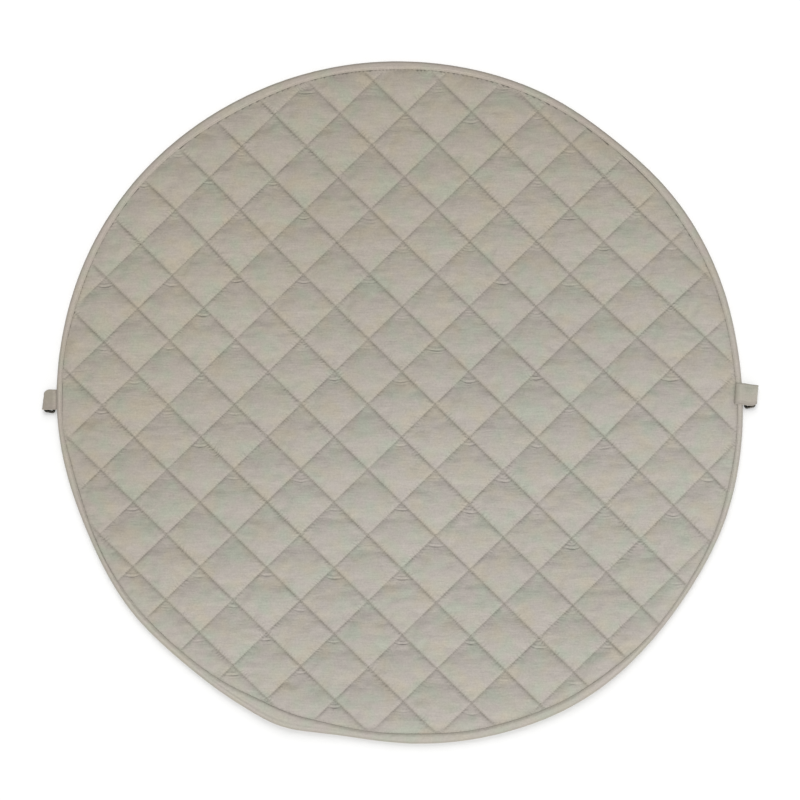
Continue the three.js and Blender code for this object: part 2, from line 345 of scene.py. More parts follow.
@dataclass(frozen=True)
class QuiltRows:
    """The two families of stitched rows, counted in squares from the middle: rows are at the halves."""

    pitch: float = 68.3
    falling_angle: float = -44.5
    rising_angle: float = 44.0
    rising_shift: float = -1.0
    rising_creep: float = -0.28
    falling_ends: tuple[float, float] = (-7.5, 7.5)
    rising_ends: tuple[float, float] = (-7.5, 8.5)
    pulls: tuple[Pull, ...] = (Pull(430, 0, 110, -1, 9), Pull(-313, 306, 80, 4, 4))

    def place(self, falling: Array, rising: Array) -> tuple[Array, Array]:
        """Where a falling and a rising line cross.

        Each line is the pitch times its count away from the middle, along its own normal, and the rising ones
        close up a little with the square of their count. The two lines are solved for their common point, and
        each pull then moves it by its own amount times a bell curve of the distance.

        Args:
            falling: counts across the falling rows.
            rising: counts across the rising rows.

        Returns:
            The points' x and y.
        """
        falling_way = math.radians(self.falling_angle + 90)
        rising_way = math.radians(self.rising_angle + 90)
        falling_out = self.pitch * falling
        rising_out = self.rising_shift + self.pitch * rising + self.rising_creep * rising**2
        spread = math.sin(rising_way - falling_way)
        x = (falling_out * math.sin(rising_way) - rising_out * math.sin(falling_way)) / spread
        y = (rising_out * math.cos(falling_way) - falling_out * math.cos(rising_way)) / spread
        moved_x = x.copy()
        moved_y = y.copy()
        for pull in self.pulls:
            share = bell(np.hypot(x - pull.x, y - pull.y), pull.reach)
            moved_x += pull.along_x * share
            moved_y += pull.along_y * share
        return moved_x, moved_y

    def grid(self, steps: Array) -> tuple[Array, Array]:
        """Every pair of counts over the whole quilt.

        Args:
            steps: the places across one square, from 0 on its first row, without 1.

        Returns:
            The falling and rising counts, as two grids.
        """
        counts = []
        for first, last in (self.falling_ends, self.rising_ends):
            squares = np.arange(first, last)[:, None] + steps[None, :]
            counts.append(np.append(squares.ravel(), last))
        return tuple(np.meshgrid(*counts, indexing="ij"))


def square_of(count: Array) -> tuple[Array, Array]:
    """The first row of the square that a count lies in, and the part of the way across it."""
    square = np.floor(count + 0.5) - 0.5
    return square, count - square


# The quilted pad

@dataclass(frozen=True)
class Crease:
    """A fold pressed into the face: where its middle is, the way it runs, and its length, width and depth."""

    x: float
    y: float
    turn: float
    length: float
    width: float
    depth: float


# Beside the right edge the face is gathered, and beside the left one it is creased.
CREASES = (
    Crease(447, 174, -3, 24, 2.2, 0.5),
    Crease(452, 164, -2, 20, 2.0, 0.55),
    Crease(455, 156.5, -5, 26, 2.5, 1.1),
    Crease(459, 149, 0, 16, 2.0, 0.6),
    Crease(462, 142, -2, 18, 2.2, 0.7),
    Crease(452, 136.5, 4, 28, 2.4, 0.8),
    Crease(-468, 111, -11, 30, 2.2, 1.2),
    Crease(-485, 29, -5, 18, 2.0, 0.6),
    Crease(-479, 20.5, 8, 24, 2.2, 0.7),
    Crease(-476, 62, -3, 22, 2.4, 0.5),
    Crease(480, 15, 90, 26, 1.6, 0.7),
    Crease(483.5, 15, 90, 26, 1.4, 0.6),
    Crease(473, 86, -8, 14, 2.2, 0.5),
)


@dataclass
class FilledCloth:
    """The face's cloth, cut a little too large, blown up by the filling and held down by the rows.

    Blender's cloth settles it on an even grid, and the finished face reads its moves off that grid.
    """

    steps_a_square: int = 16
    slack: float = 0.016
    start_share: float = 0.8
    start_noise: float = 0.045
    start_grain: Grain = Grain(28, 8, 61)
    bending: float = 0.02
    frames: int = 14
    pressure: float = 2.5
    most_move: float = 4.0
    beyond_edge: float = 6.0
    held_edge: float = 0.5

    def moves(self, pad: "QuiltedPad") -> Array:
        """Settles the cloth.

        Args:
            pad: the pad, which gives the plain face and the rows.

        Returns:
            How far each point of the even grid moves from the plain face, as rows, columns and x, y, z.
        """
        steps = np.arange(self.steps_a_square) / self.steps_a_square
        falling, rising = pad.rows.grid(steps)
        x, y = pad.rows.place(falling, rising)
        plain = pad.plain_height(falling, rising, x, y)
        inward = pad.edge.inward(x, y) - pad.edge.band_shown(pad.edge.turn_of(x, y))
        floor = pad.valley + pad.lift_share(x, y)
        uneven = self.start_noise * self.start_grain.at(x, y)
        start = np.stack([x, y, floor + (plain - floor) * self.start_share * (1 + uneven)], axis=-1)
        shape = falling.shape
        faces, _ = loft_faces(shape[0], shape[1], False, False)
        near = inward.ravel() > -self.beyond_edge
        faces = faces[near[faces].all(axis=1)]
        used, numbers = np.unique(faces, return_inverse=True)
        counts = np.arange(shape[0] * shape[1])
        on_falling = counts // shape[1] % self.steps_a_square == 0
        on_rising = counts % shape[1] % self.steps_a_square == 0
        held = on_falling | on_rising | (inward.ravel() < self.held_edge)
        sheet = Surface(start.reshape(-1, 3)[used], [numbers.reshape(faces.shape)]).piece("settling_cloth")
        settled = self.settle(sheet, np.flatnonzero(held[used]))
        moved = np.zeros((shape[0] * shape[1], 3))
        moved[used] = settled - np.stack([x, y, plain], axis=-1).reshape(-1, 3)[used]
        far = np.linalg.norm(moved, axis=1, keepdims=True)
        moved *= np.minimum(1.0, self.most_move / np.maximum(far, 1e-9))
        return moved.reshape(shape + (3,))

    def settle(self, sheet: bpy.types.Object, held: Array) -> Array:
        """Runs the simulation and removes the sheet.

        Args:
            sheet: the cloth's object, as it starts.
            held: numbers of the points that the stitching holds.

        Returns:
            The settled points, in millimetres.
        """
        pins = sheet.vertex_groups.new(name="stitched_down")
        pins.add(held.tolist(), 1.0, "REPLACE")
        cloth = sheet.modifiers.new("filling", "CLOTH")
        settings = cloth.settings
        settings.shrink_min = -self.slack
        settings.vertex_group_mass = pins.name
        settings.quality = 6
        settings.mass = 0.02
        settings.air_damping = 4.0
        settings.tension_stiffness = 12.0
        settings.compression_stiffness = 12.0
        settings.shear_stiffness = 3.0
        settings.bending_stiffness = self.bending
        settings.tension_damping = 8.0
        settings.compression_damping = 8.0
        settings.shear_damping = 5.0
        settings.bending_damping = 0.5
        settings.use_pressure = True
        settings.uniform_pressure_force = self.pressure
        settings.effector_weights.gravity = 0.0
        cloth.collision_settings.use_collision = False
        cloth.point_cache.frame_start = 1
        cloth.point_cache.frame_end = self.frames
        scene = bpy.context.scene
        for number in range(1, self.frames + 1):
            scene.frame_set(number)
        settled = sheet.evaluated_get(bpy.context.evaluated_depsgraph_get())
        points = np.empty(len(sheet.data.vertices) * 3, np.float32)
        settled.data.vertices.foreach_get("co", points)
        scene.frame_set(1)
        mesh = sheet.data
        bpy.data.objects.remove(sheet)
        bpy.data.meshes.remove(mesh)
        return points.reshape(-1, 3).astype(float) / MM


def read_grid(grid: Array, rows: Array, columns: Array) -> Array:
    """Reads a grid of vectors between its points.

    Four neighbours along each axis are weighed by a smooth curve through them, first down the rows and then
    across.

    Args:
        grid: the vectors, as rows, columns and three numbers.
        rows: places down the rows, in steps of the grid.
        columns: places across the columns.

    Returns:
        The vectors at every pair of places.
    """
    for axis, places in enumerate((rows, columns)):
        low = np.clip(np.floor(places).astype(int), 0, grid.shape[axis] - 2)
        t = (places - low).reshape((-1, 1, 1) if axis == 0 else (1, -1, 1))
        weights = (
            -0.5 * t**3 + t**2 - 0.5 * t,
            1.5 * t**3 - 2.5 * t**2 + 1,
            -1.5 * t**3 + 2 * t**2 + 0.5 * t,
            0.5 * t**3 - 0.5 * t**2,
        )
        last = grid.shape[axis] - 1
        grid = sum(
            weight * np.take(grid, np.clip(low + shift, 0, last), axis=axis)
            for weight, shift in zip(weights, (-1, 0, 1, 2))
        )
    return grid


@dataclass
class QuiltedPad:
    """The filled pad: a raised diamond grid above, a shallow one below, and a thin tongue in the binding."""

    edge: EdgeShape
    rows: QuiltRows
    valley: float = 6.9
    crown: float = 13.5
    sharpness: float = 2.6
    unevenness: float = 0.07
    rim_slope: float = 34.0
    lift_reach: float = 45.0
    face_steps: tuple[float, ...] = (0.0, 0.012, 0.028, 0.055)
    face_even_steps: int = 16
    under_steps: int = 6
    under_relief: float = 1.9
    face_tuck: float = 1.2
    under_tuck: float = 3.0
    binding_underside: float = 12.0
    tongue_bottom: float = 1.75
    tongue_top: float = 6.7
    steps_round: int = 720
    groove: float = 0.85
    groove_width: float = 1.8
    rising_groove: float = 0.42
    rising_groove_width: float = 0.65
    lump_turns: tuple[float, float] = (12.9, 7.3)
    wrinkle_depth: float = 0.12
    wrinkle_bend: float = 6.0
    wrinkle_bends: Grain = Grain(90, 60, 31)
    wrinkle_lines: Grain = Grain(30, 8, 32)
    wrinkle_patches: Grain = Grain(70, 55, 34)
    # Reaches and strengths of the painted shade in the rows' grooves and along the binding's fold.
    falling_seam: float = 1.7
    rising_seam: float = 1.3
    rising_seam_share: float = 0.26
    binding_seam: float = 1.2
    tongue_bevel: float = 4.3
    tongue_tip: float = 1.7
    tongue_chamfer: float = 1.8

    def lift_share(self, x: Array, y: Array) -> Array:
        """How far the propped edge lifts the pad at each point: all of it at the binding, fading inwards."""
        angle = self.edge.turn_of(x, y)
        inward = self.edge.inward(x, y) - self.edge.band_shown(angle)
        return self.edge.lift(angle) * (1.0 - smooth_step(inward / self.lift_reach))

    def plain_height(self, falling: Array, rising: Array, x: Array, y: Array) -> Array:
        """The face's height with no small folds.

        It is the valley's height, plus the crown's times a puff in each direction, which is one less the
        distance from the square's middle to a power. The puffs differ a little, sink towards the binding and
        ride up with the edge where that is propped.

        Args:
            falling: counts across the falling rows.
            rising: counts across the rising rows.
            x: the points' x.
            y: the points' y.

        Returns:
            The heights.
        """
        falling_square, falling_part = square_of(falling)
        rising_square, rising_part = square_of(rising)
        puff = 1 - np.abs(2 * falling_part - 1) ** self.sharpness
        puff = puff * (1 - np.abs(2 * rising_part - 1) ** self.sharpness)
        first, second = self.lump_turns
        lumps = 1 + self.unevenness * np.sin(first * falling_square + second * rising_square)
        inward = self.edge.inward(x, y) - self.edge.band_shown(self.edge.turn_of(x, y))
        rim = 1 - (1 - np.clip(inward / self.rim_slope, 0, 1)) ** 2
        return self.valley + (self.crown - self.valley) * puff * lumps * rim + self.lift_share(x, y)

    def to_rows(self, falling: Array, rising: Array) -> tuple[Array, Array]:
        """How far each point is from the nearest falling row and the nearest rising row."""
        parts = (square_of(falling)[1], square_of(rising)[1])
        return tuple(np.minimum(part, 1 - part) * self.rows.pitch for part in parts)

    def grooves(self, falling: Array, rising: Array) -> Array:
        """The narrow groove along each row of stitching: a bell curve of the distance to it.

        The falling rows were sewn last, and pull deeper.
        """
        to_falling, to_rising = self.to_rows(falling, rising)
        rising_groove = self.rising_groove * bell(to_rising, self.groove_width * self.rising_groove_width)
        return -self.groove * (bell(to_falling, self.groove_width) + rising_groove)

    def wrinkles(self, x: Array, y: Array) -> Array:
        """Crosswise wrinkles: noise, long along X and short along Y, and stronger towards the near edge."""
        bend = self.wrinkle_bend * self.wrinkle_bends.at(x, y)
        lines = self.wrinkle_lines.at(x, y + bend)
        patches = smooth_step(0.5 + 0.8 * self.wrinkle_patches.at(x, y))
        near = 0.6 + 0.4 * smooth_step((120 - y) / 400)
        return self.wrinkle_depth * lines * patches * near

    def creases(self, x: Array, y: Array) -> Array:
        """The pressed folds: each is a trough with a softer ridge beside it, fading out along its length."""
        height = np.zeros_like(x)
        for crease in CREASES:
            way = math.radians(crease.turn)
            along = (x - crease.x) * math.cos(way) + (y - crease.y) * math.sin(way)
            across = (y - crease.y) * math.cos(way) - (x - crease.x) * math.sin(way)
            ridge = 0.7 * bell(across - 1.5 * crease.width, crease.width * 0.7)
            trough = bell(across, crease.width / 2) - ridge
            height -= crease.depth * trough * bell(along, crease.length / 2.6)
        return height

    def face_points(self, falling: Array, rising: Array, moves: Array | None) -> tuple[Array, Array]:
        """The finished face.

        Args:
            falling: counts across the falling rows, as a grid.
            rising: counts across the rising rows, as a grid.
            moves: the settled cloth's moves on the same grid, or None for the plain face.

        Returns:
            The points, and each one's marks: the strength of its painted shade, from 0 to 1, in the rows'
            grooves and along the binding's fold, and its two counts.
        """
        x, y = self.rows.place(falling, rising)
        height = self.plain_height(falling, rising, x, y)
        to_falling, to_rising = self.to_rows(falling, rising)
        angle = self.edge.turn_of(x, y)
        inward = self.edge.inward(x, y) - self.edge.band_shown(angle)
        open_face = smooth_step(inward / 5.0)
        off_seam = smooth_step(np.minimum(to_falling, to_rising) / 5.0)
        points = np.stack([x, y, height], axis=-1)
        if moves is not None:
            points = points + moves * open_face[..., None]
        detail = self.grooves(falling, rising) + (self.wrinkles(x, y) + self.creases(x, y)) * off_seam
        points[..., 2] += detail * open_face
        # Painted shade: darker in the rows' grooves, most in the falling ones, and along the binding's fold,
        # stronger where the binding is pulled tighter.
        rising_seam = self.rising_seam_share * bell(to_rising, self.rising_seam)
        seam = np.maximum(bell(to_falling, self.falling_seam), rising_seam)
        binding_fold_shade = bell(np.maximum(inward, 0.0), self.binding_seam)
        seam = np.maximum(seam, self.edge.pulled(angle) * binding_fold_shade)
        return points, np.stack([seam, falling, rising], axis=-1)

    def underside_points(self, falling: Array, rising: Array) -> tuple[Array, Array]:
        """The underside: shallow puffs that rest on the floor, with the rows drawn up between them."""
        x, y = self.rows.place(falling, rising)
        puffs = [1 - np.abs(2 * square_of(count)[1] - 1) ** 3 for count in (falling, rising)]
        height = self.under_relief * (1 - puffs[0] * puffs[1]) + self.lift_share(x, y)
        to_falling, to_rising = self.to_rows(falling, rising)
        # Painted shade along the rows of the underside.
        seam = np.maximum(bell(to_falling, 2.0), bell(to_rising, 2.0))
        return np.stack([x, y, height], axis=-1), np.stack([seam, falling, rising], axis=-1)

    def build(self, moves: Array | None) -> bpy.types.Object:
        """Makes the pad as one closed mesh: the clipped face, the tongue's rings and the clipped underside.

        Args:
            moves: the settled cloth's moves on its even grid, or None.

        Returns:
            The pad's object.
        """
        edge_part = self.face_steps[-1]
        even = np.linspace(edge_part, 1 - edge_part, self.face_even_steps + 1)[1:]
        mirrored = 1 - np.array(self.face_steps[-2:0:-1])
        steps = np.concatenate([self.face_steps, even, mirrored])
        falling, rising = self.rows.grid(steps)
        if moves is not None:
            scale = (moves.shape[0] - 1) / (self.rows.falling_ends[1] - self.rows.falling_ends[0])
            down = (falling[:, 0] - self.rows.falling_ends[0]) * scale
            along = (rising[0] - self.rows.rising_ends[0]) * scale
            moves = read_grid(moves, down, along)
        face, face_seam = self.face_points(falling, rising, moves)
        face_inward = self.edge.inward(face[..., 0], face[..., 1])
        face_angle = self.edge.turn_of(face[..., 0], face[..., 1])
        face_depth = face_inward - self.edge.band_shown(face_angle) + self.face_tuck
        top = clip_grid(face, face_seam, face_depth, self.edge)
        falling, rising = self.rows.grid(np.arange(self.under_steps) / self.under_steps)
        under, under_seam = self.underside_points(falling, rising)
        under_inward = self.edge.inward(under[..., 0], under[..., 1])
        under_depth = under_inward - self.binding_underside - self.under_tuck
        bottom = clip_grid(under, under_seam, under_depth, self.edge)
        return self.join(top, bottom, self.tongue())

    def tongue(self) -> Array:
        """The rings of points round the pad's thin edge in the binding, from the face to the underside."""
        angle = np.arange(self.steps_round) * 360.0 / self.steps_round
        shown = self.edge.band_shown(angle)
        lift = self.edge.lift(angle)
        bevel = np.full_like(angle, self.tongue_bevel)
        tip = np.full_like(angle, self.tongue_tip)
        below = np.full_like(angle, self.binding_underside + 0.4)
        stations = (
            (shown - self.face_tuck + 0.6, self.tongue_top),
            (bevel, self.tongue_top),
            (tip, self.tongue_top - self.tongue_chamfer),
            (tip, self.tongue_bottom + self.tongue_chamfer),
            (bevel, self.tongue_bottom),
            (below, self.tongue_bottom),
            (below + 1.0, self.under_relief * 0.6),
        )
        return np.stack([self.edge.points(angle, inward, up + lift) for inward, up in stations])

    def join(self, top: "ClippedGrid", bottom: "ClippedGrid", rings: Array) -> bpy.types.Object:
        """Sews the two clipped grids to the rings between them.

        Args:
            top: the face.
            bottom: the underside, which is turned to face down.
            rings: the tongue's rings, from the face to the underside.

        Returns:
            The pad's object.
        """
        ring_start = len(top.points)
        bottom_start = ring_start + rings.shape[0] * rings.shape[1]
        turn = np.arange(self.steps_round) * 360.0 / self.steps_round
        first_ring = ring_start + np.arange(self.steps_round)
        last_ring = bottom_start - self.steps_round + np.arange(self.steps_round)
        quads, _ = loft_faces(rings.shape[0], rings.shape[1], False, True)
        upper = zip_loops(top.rim, top.rim_turn, first_ring, turn)
        lower = zip_loops(bottom.rim + bottom_start, bottom.rim_turn, last_ring, turn)
        points = np.concatenate([top.points, rings.reshape(-1, 3), bottom.points])
        squares = [top.squares, quads + ring_start, bottom.squares[:, ::-1] + bottom_start]
        triangles = [top.triangles, upper, lower[:, ::-1], bottom.triangles[:, ::-1] + bottom_start]
        faces = [np.concatenate(squares), np.concatenate(triangles)]
        pad = Surface(points, faces).piece("quilted_cotton_pad")
        marks = np.concatenate([top.marks, np.zeros((rings[..., 0].size, 3)), bottom.marks])
        # The seam mark is painted shade, which the cotton's material mixes in.
        mark_points(pad, "seam", marks[:, 0])
        mark_points(pad, "quilt_place", np.column_stack([marks[:, 1:], np.zeros(len(marks))]))
        return pad


@dataclass
class ClippedGrid:
    """A grid of squares cut off at the mat's outline, with the loop of points along the cut."""

    points: Array
    marks: Array
    squares: Array
    triangles: Array
    rim: Array
    rim_turn: Array


def clip_grid(grid: Array, marks: Array, depth: Array, edge: EdgeShape) -> ClippedGrid:
    """Cuts a grid of points off along the line where the depth is nothing.

    Points close to the line are first moved out or in to it. Squares well inside are kept, and the ones that
    the line crosses are split in triangles and cut where the depth passes nothing along their sides.

    Args:
        grid: the points, as rows, columns and x, y, z.
        marks: a row of numbers for each point.
        depth: how far inside the line each point is.
        edge: the mat's outline, which gives the way out.

    Returns:
        What is inside the line.
    """
    rows, columns = depth.shape
    points = grid.reshape(-1, 3).copy()
    marks = marks.reshape(len(points), -1)
    depth = depth.ravel().copy()
    close = np.abs(depth) < NEAR_CUT
    out = unit(points[:, :2])
    points[close, :2] += out[close] * depth[close, None]
    depth[close] = JUST_INSIDE
    squares, _ = loft_faces(rows, columns, False, False)
    inside = depth > 0
    kept = inside[squares].all(axis=1)
    crossed = squares[inside[squares].any(axis=1) & ~kept]
    triangles = np.concatenate([crossed[:, [0, 1, 2]], crossed[:, [0, 2, 3]]])
    within = inside[triangles]
    one_out = triangles[within.sum(axis=1) == 2]
    two_out = triangles[within.sum(axis=1) == 1]
    whole = triangles[within.all(axis=1)]
    first_out = np.argmin(inside[one_out], axis=1)
    first_in = np.argmax(inside[two_out], axis=1)
    one_out = np.take_along_axis(one_out, (first_out[:, None] + [0, 1, 2]) % 3, axis=1)
    two_out = np.take_along_axis(two_out, (first_in[:, None] + [0, 1, 2]) % 3, axis=1)
    cuts = np.concatenate([one_out[:, [1, 0]], one_out[:, [2, 0]], two_out[:, [0, 1]], two_out[:, [0, 2]]])
    share = depth[cuts[:, 0]] / (depth[cuts[:, 0]] - depth[cuts[:, 1]])
    cut_points = points[cuts[:, 0]] + (points[cuts[:, 1]] - points[cuts[:, 0]]) * share[:, None]
    cut_marks = marks[cuts[:, 0]] + (marks[cuts[:, 1]] - marks[cuts[:, 0]]) * share[:, None]
    start = len(points)
    ones = len(one_out)
    twos = len(two_out)
    near_cut = start + np.arange(ones)
    far_cut = start + ones + np.arange(ones)
    left_cut = start + 2 * ones + np.arange(twos)
    right_cut = start + 2 * ones + twos + np.arange(twos)
    made = np.concatenate([
        whole,
        np.stack([one_out[:, 1], one_out[:, 2], far_cut], axis=1),
        np.stack([one_out[:, 1], far_cut, near_cut], axis=1),
        np.stack([two_out[:, 0], left_cut, right_cut], axis=1),
    ])
    points = np.concatenate([points, cut_points])
    marks = np.concatenate([marks, cut_marks])
    return tidy_clip(points, marks, squares[kept], made, edge)


def tidy_clip(points: Array, marks: Array, squares: Array, triangles: Array, edge: EdgeShape) -> ClippedGrid:
    """Merges points that fall together, drops faces left without area, and finds the loop along the cut.

    Args:
        points: all points, with the cut ones last.
        marks: a row of numbers for each point.
        squares: the whole squares.
        triangles: the triangles along the cut.
        edge: the mat's outline, which gives the points' turn.

    Returns:
        The finished grid.
    """
    used = np.unique(np.concatenate([squares.ravel(), triangles.ravel()]))
    keys = np.round(points[used] * MERGE_STEPS).astype(np.int64)
    _, first, merged = np.unique(keys, axis=0, return_index=True, return_inverse=True)
    numbers = np.zeros(len(points), int)
    numbers[used] = merged.ravel()
    squares = numbers[squares]
    triangles = numbers[triangles]
    a, b, c = triangles.T
    triangles = triangles[(a != b) & (b != c) & (c != a)]
    sides = np.concatenate(
        [np.stack([squares[:, i], squares[:, (i + 1) % 4]], axis=1) for i in range(4)]
        + [np.stack([triangles[:, i], triangles[:, (i + 1) % 3]], axis=1) for i in range(3)]
    )
    _, index, count = np.unique(np.sort(sides, axis=1), axis=0, return_index=True, return_counts=True)
    rim = np.unique(sides[index[count == 1]])
    kept_points = points[used[first]]
    turn = edge.turn_of(kept_points[rim, 0], kept_points[rim, 1]) % 360.0
    order = np.argsort(turn)
    return ClippedGrid(kept_points, marks[used[first]], squares, triangles, rim[order], turn[order])


# The binding

@dataclass
class EdgeBinding:
    """The strip that is folded in a C round the pad's edge and stitched through beside its inner fold."""

    edge: EdgeShape
    underside: float = 12.0
    cloth: float = 1.35
    nose_depth: float = 4.3
    middle_height: float = 4.33
    half_height: float = 4.34
    steps_round: int = 1440
    face_steps: int = 12
    nose_steps: int = 13
    stitch_inset: float = 1.9
    stitch_sink: float = 0.55
    flat_width: float = 33.0
    swell: float = 0.35
    dip: float = 0.4
    dip_reach: float = 0.9
    fold_drop: float = 1.55
    fold_ease: float = 0.8
    fold_reach: float = 1.2
    gathers: float = 0.16
    doubled: tuple[Wave, ...] = (Wave(245, 7, 1.0), Wave(205, 6, 0.5))
    lip_rise: float = 0.9
    lip: tuple[Mark, ...] = (Mark(1.0, 6.6, 0.8), Mark(-0.8, 8.4, 0.8))
    inside_low: float = 1.33
    inside_high: float = 7.12
    pucker: Grain = Grain(9, 70, 43)
    fine_pucker: Grain = Grain(4.2, 50, 44)
    # The binding's painted shade: a dark line just inside the edge on the nose's upper half, stronger on the
    # near side and beside the left tab, and a dark line along the inner fold.
    rim_in: float = 1.5
    rim_reach: float = 1.2
    rim_painted_shade: float = 0.7
    near_rim_painted_shade: float = 0.6
    tab_rim_painted_shade: Mark = Mark(0.9, 179.3, 1.7)
    fold_seam: float = 1.0

    def profile(self, angle: Array) -> tuple[Array, Array, Array]:
        """The binding's closed section at each angle, with its ripples.

        The face runs flat from the inner fold, dips at the stitching and swells a little, goes round the edge
        on half an ellipse, and comes back below. The inside follows it at the cloth's thickness. Ripples are
        noise along the edge, strongest by the stitching. Where the strip has doubled over, a low ridge runs
        along it. The fold is pressed down more where the stitching is loose.

        Args:
            angle: the angles round the mat.

        Returns:
            How far inside the edge, how high, and how far across the strip each point is.
        """
        shown = self.edge.band_shown(angle)[:, None]
        along = (np.radians(angle) * self.edge.mean_radius)[:, None]
        part = np.linspace(0, 1, self.face_steps)[None, :]
        top_in = shown + (self.nose_depth - shown) * part
        to_fold = shown - top_in
        swell = self.swell * np.sin(np.pi * np.clip(part, 0, 1))
        dip = -self.dip * bell(to_fold - self.stitch_inset, self.dip_reach)
        drop = self.fold_drop - self.fold_ease * self.edge.pulled(angle)[:, None]
        fold = -drop * bell(to_fold, self.fold_reach)
        gathers = drift(along / 4.6 + 0.35 * to_fold, np.full_like(along, 3.0), 41)
        gathers = gathers + 0.5 * drift(along / 2.7, to_fold / 6, 42)
        doubled = waves_at(angle, self.doubled)[:, None]
        lip = self.lip_rise * doubled * sum(mark.over(top_in) for mark in self.lip)
        top = self.middle_height + self.half_height + swell + dip + fold + lip
        top = top + self.gathers * gathers * (0.4 + bell(to_fold - 3.0, 2.5))
        turn = np.linspace(90, 270, self.nose_steps + 2)[None, 1:-1]
        pucker = 1 + 0.02 * self.pucker.at(along, turn) + 0.015 * self.fine_pucker.at(along, turn)
        nose_in = self.nose_depth + self.nose_depth * np.cos(np.radians(turn)) * pucker
        nose_up = self.middle_height + self.half_height * np.sin(np.radians(turn)) * np.minimum(pucker, 1)
        ones = np.ones_like(shown)
        bottom_in = ones * np.array([[self.nose_depth, 8.0, self.underside]])
        bottom_up = ones * np.array([[-0.01, -0.01, 0.05]])
        round_in = (self.underside, 8.0, 4.3, 2.2, self.cloth, self.cloth, 2.2, 4.3)
        inside_in = np.concatenate([ones * np.array([round_in]), np.maximum(shown * 0.6, 4.6), shown], axis=1)
        round_up = (self.inside_low,) * 3 + (2.2, 3.5, 5.0, 6.3) + (self.inside_high,) * 3
        inside_up = ones * np.array([round_up])
        inward = np.concatenate([top_in, nose_in, bottom_in, inside_in], axis=1)
        up = np.concatenate([top, nose_up, bottom_up, inside_up], axis=1)
        steps = np.hypot(np.diff(inward, axis=1), np.diff(up, axis=1))
        across = np.concatenate([np.zeros_like(shown), np.cumsum(steps, axis=1)], axis=1)
        return inward, up + self.edge.lift(angle)[:, None], across

    def build(self) -> bpy.types.Object:
        """Makes the binding, one closed ring, with its UV map along the strip and across it."""
        angle = np.arange(self.steps_round) * 360.0 / self.steps_round
        inward, up, across = self.profile(angle)
        points = self.edge.points(angle[:, None], inward, up)
        faces, corners = loft_faces(*inward.shape, True, True)
        turns = corners[..., 0] * 2 * np.pi / self.steps_round * self.edge.mean_radius
        last = across[:, -1].mean()
        widths = np.where(
            corners[..., 1] < across.shape[1],
            across[corners[..., 0] % self.steps_round, corners[..., 1] % across.shape[1]],
            last + 1.0,
        )
        places = np.stack([turns, widths], axis=-1)
        surface = Surface(points.reshape(-1, 3), [faces[:, ::-1]], [places[:, ::-1]])
        piece = surface.piece("cotton_edge_binding")
        # Painted shade: a dark line just inside the edge on the nose's upper half, and one along the inner
        # fold, stronger where the stitching pulls tighter.
        above = smooth_step((up - self.middle_height) / 2.0)
        near = np.clip(-np.sin(np.radians(angle)), 0, 1)[:, None]
        strength = self.rim_painted_shade + self.near_rim_painted_shade * near + self.tab_rim_painted_shade.over(angle)[:, None]
        rim = strength * bell(inward - self.rim_in, self.rim_reach) * above
        from_fold = inward - self.edge.band_shown(angle)[:, None]
        fold = self.edge.pulled(angle)[:, None] * bell(from_fold, self.fold_seam)
        mark_points(piece, "seam", np.maximum(rim, fold).ravel())
        return piece

    def stitch_line(self, pitch: float) -> tuple[Array, Array]:
        """Places of the stitches on the band's face, a pitch apart, and the ways that they run."""
        count = int(2 * np.pi * self.edge.mean_radius / pitch)
        angle = np.arange(count) * 360.0 / count
        inward = self.edge.band_shown(angle) - self.stitch_inset
        up = self.middle_height + self.half_height - self.stitch_sink + self.edge.lift(angle)
        points = self.edge.points(angle, inward, up)
        return points, unit(np.roll(points, -1, axis=0) - points)


# The side tabs and their rings

@dataclass(frozen=True)
class Station:
    """One place along a tab's strip: how far out and up its cloth is, its two edges across, and its slant."""

    out: float
    slant: float
    up: float
    low: float
    high: float


@dataclass(frozen=True)
class RingPlace:
    """Where a ring lies in its tab: out, across, turned, and the height of its inner and outer bars."""

    out: float
    across: float
    turn: float
    inner_up: float
    outer_up: float


class Side(Enum):
    """The mat's two sides that carry a tab."""

    LEFT = "left"
    RIGHT = "right"


@dataclass(frozen=True)
class SideFrame:
    """The frame of a tab: the way that it points from the edge, its own turn, and its place along it."""

    edge: EdgeShape
    towards: float
    turn: float
    across: float

    def to_mat(self, points: Array) -> Array:
        """Points out, across and up from the edge, as points of the mat."""
        way = math.radians(self.towards + self.turn)
        reach = self.edge.radius(np.array([float(self.towards)]))[0] * math.cos(math.radians(self.towards))
        x = points[..., 0] * math.cos(way) - points[..., 1] * math.sin(way) + reach
        y = points[..., 0] * math.sin(way) + points[..., 1] * math.cos(way) + self.across
        return np.stack([x, y, points[..., 2]], axis=-1)


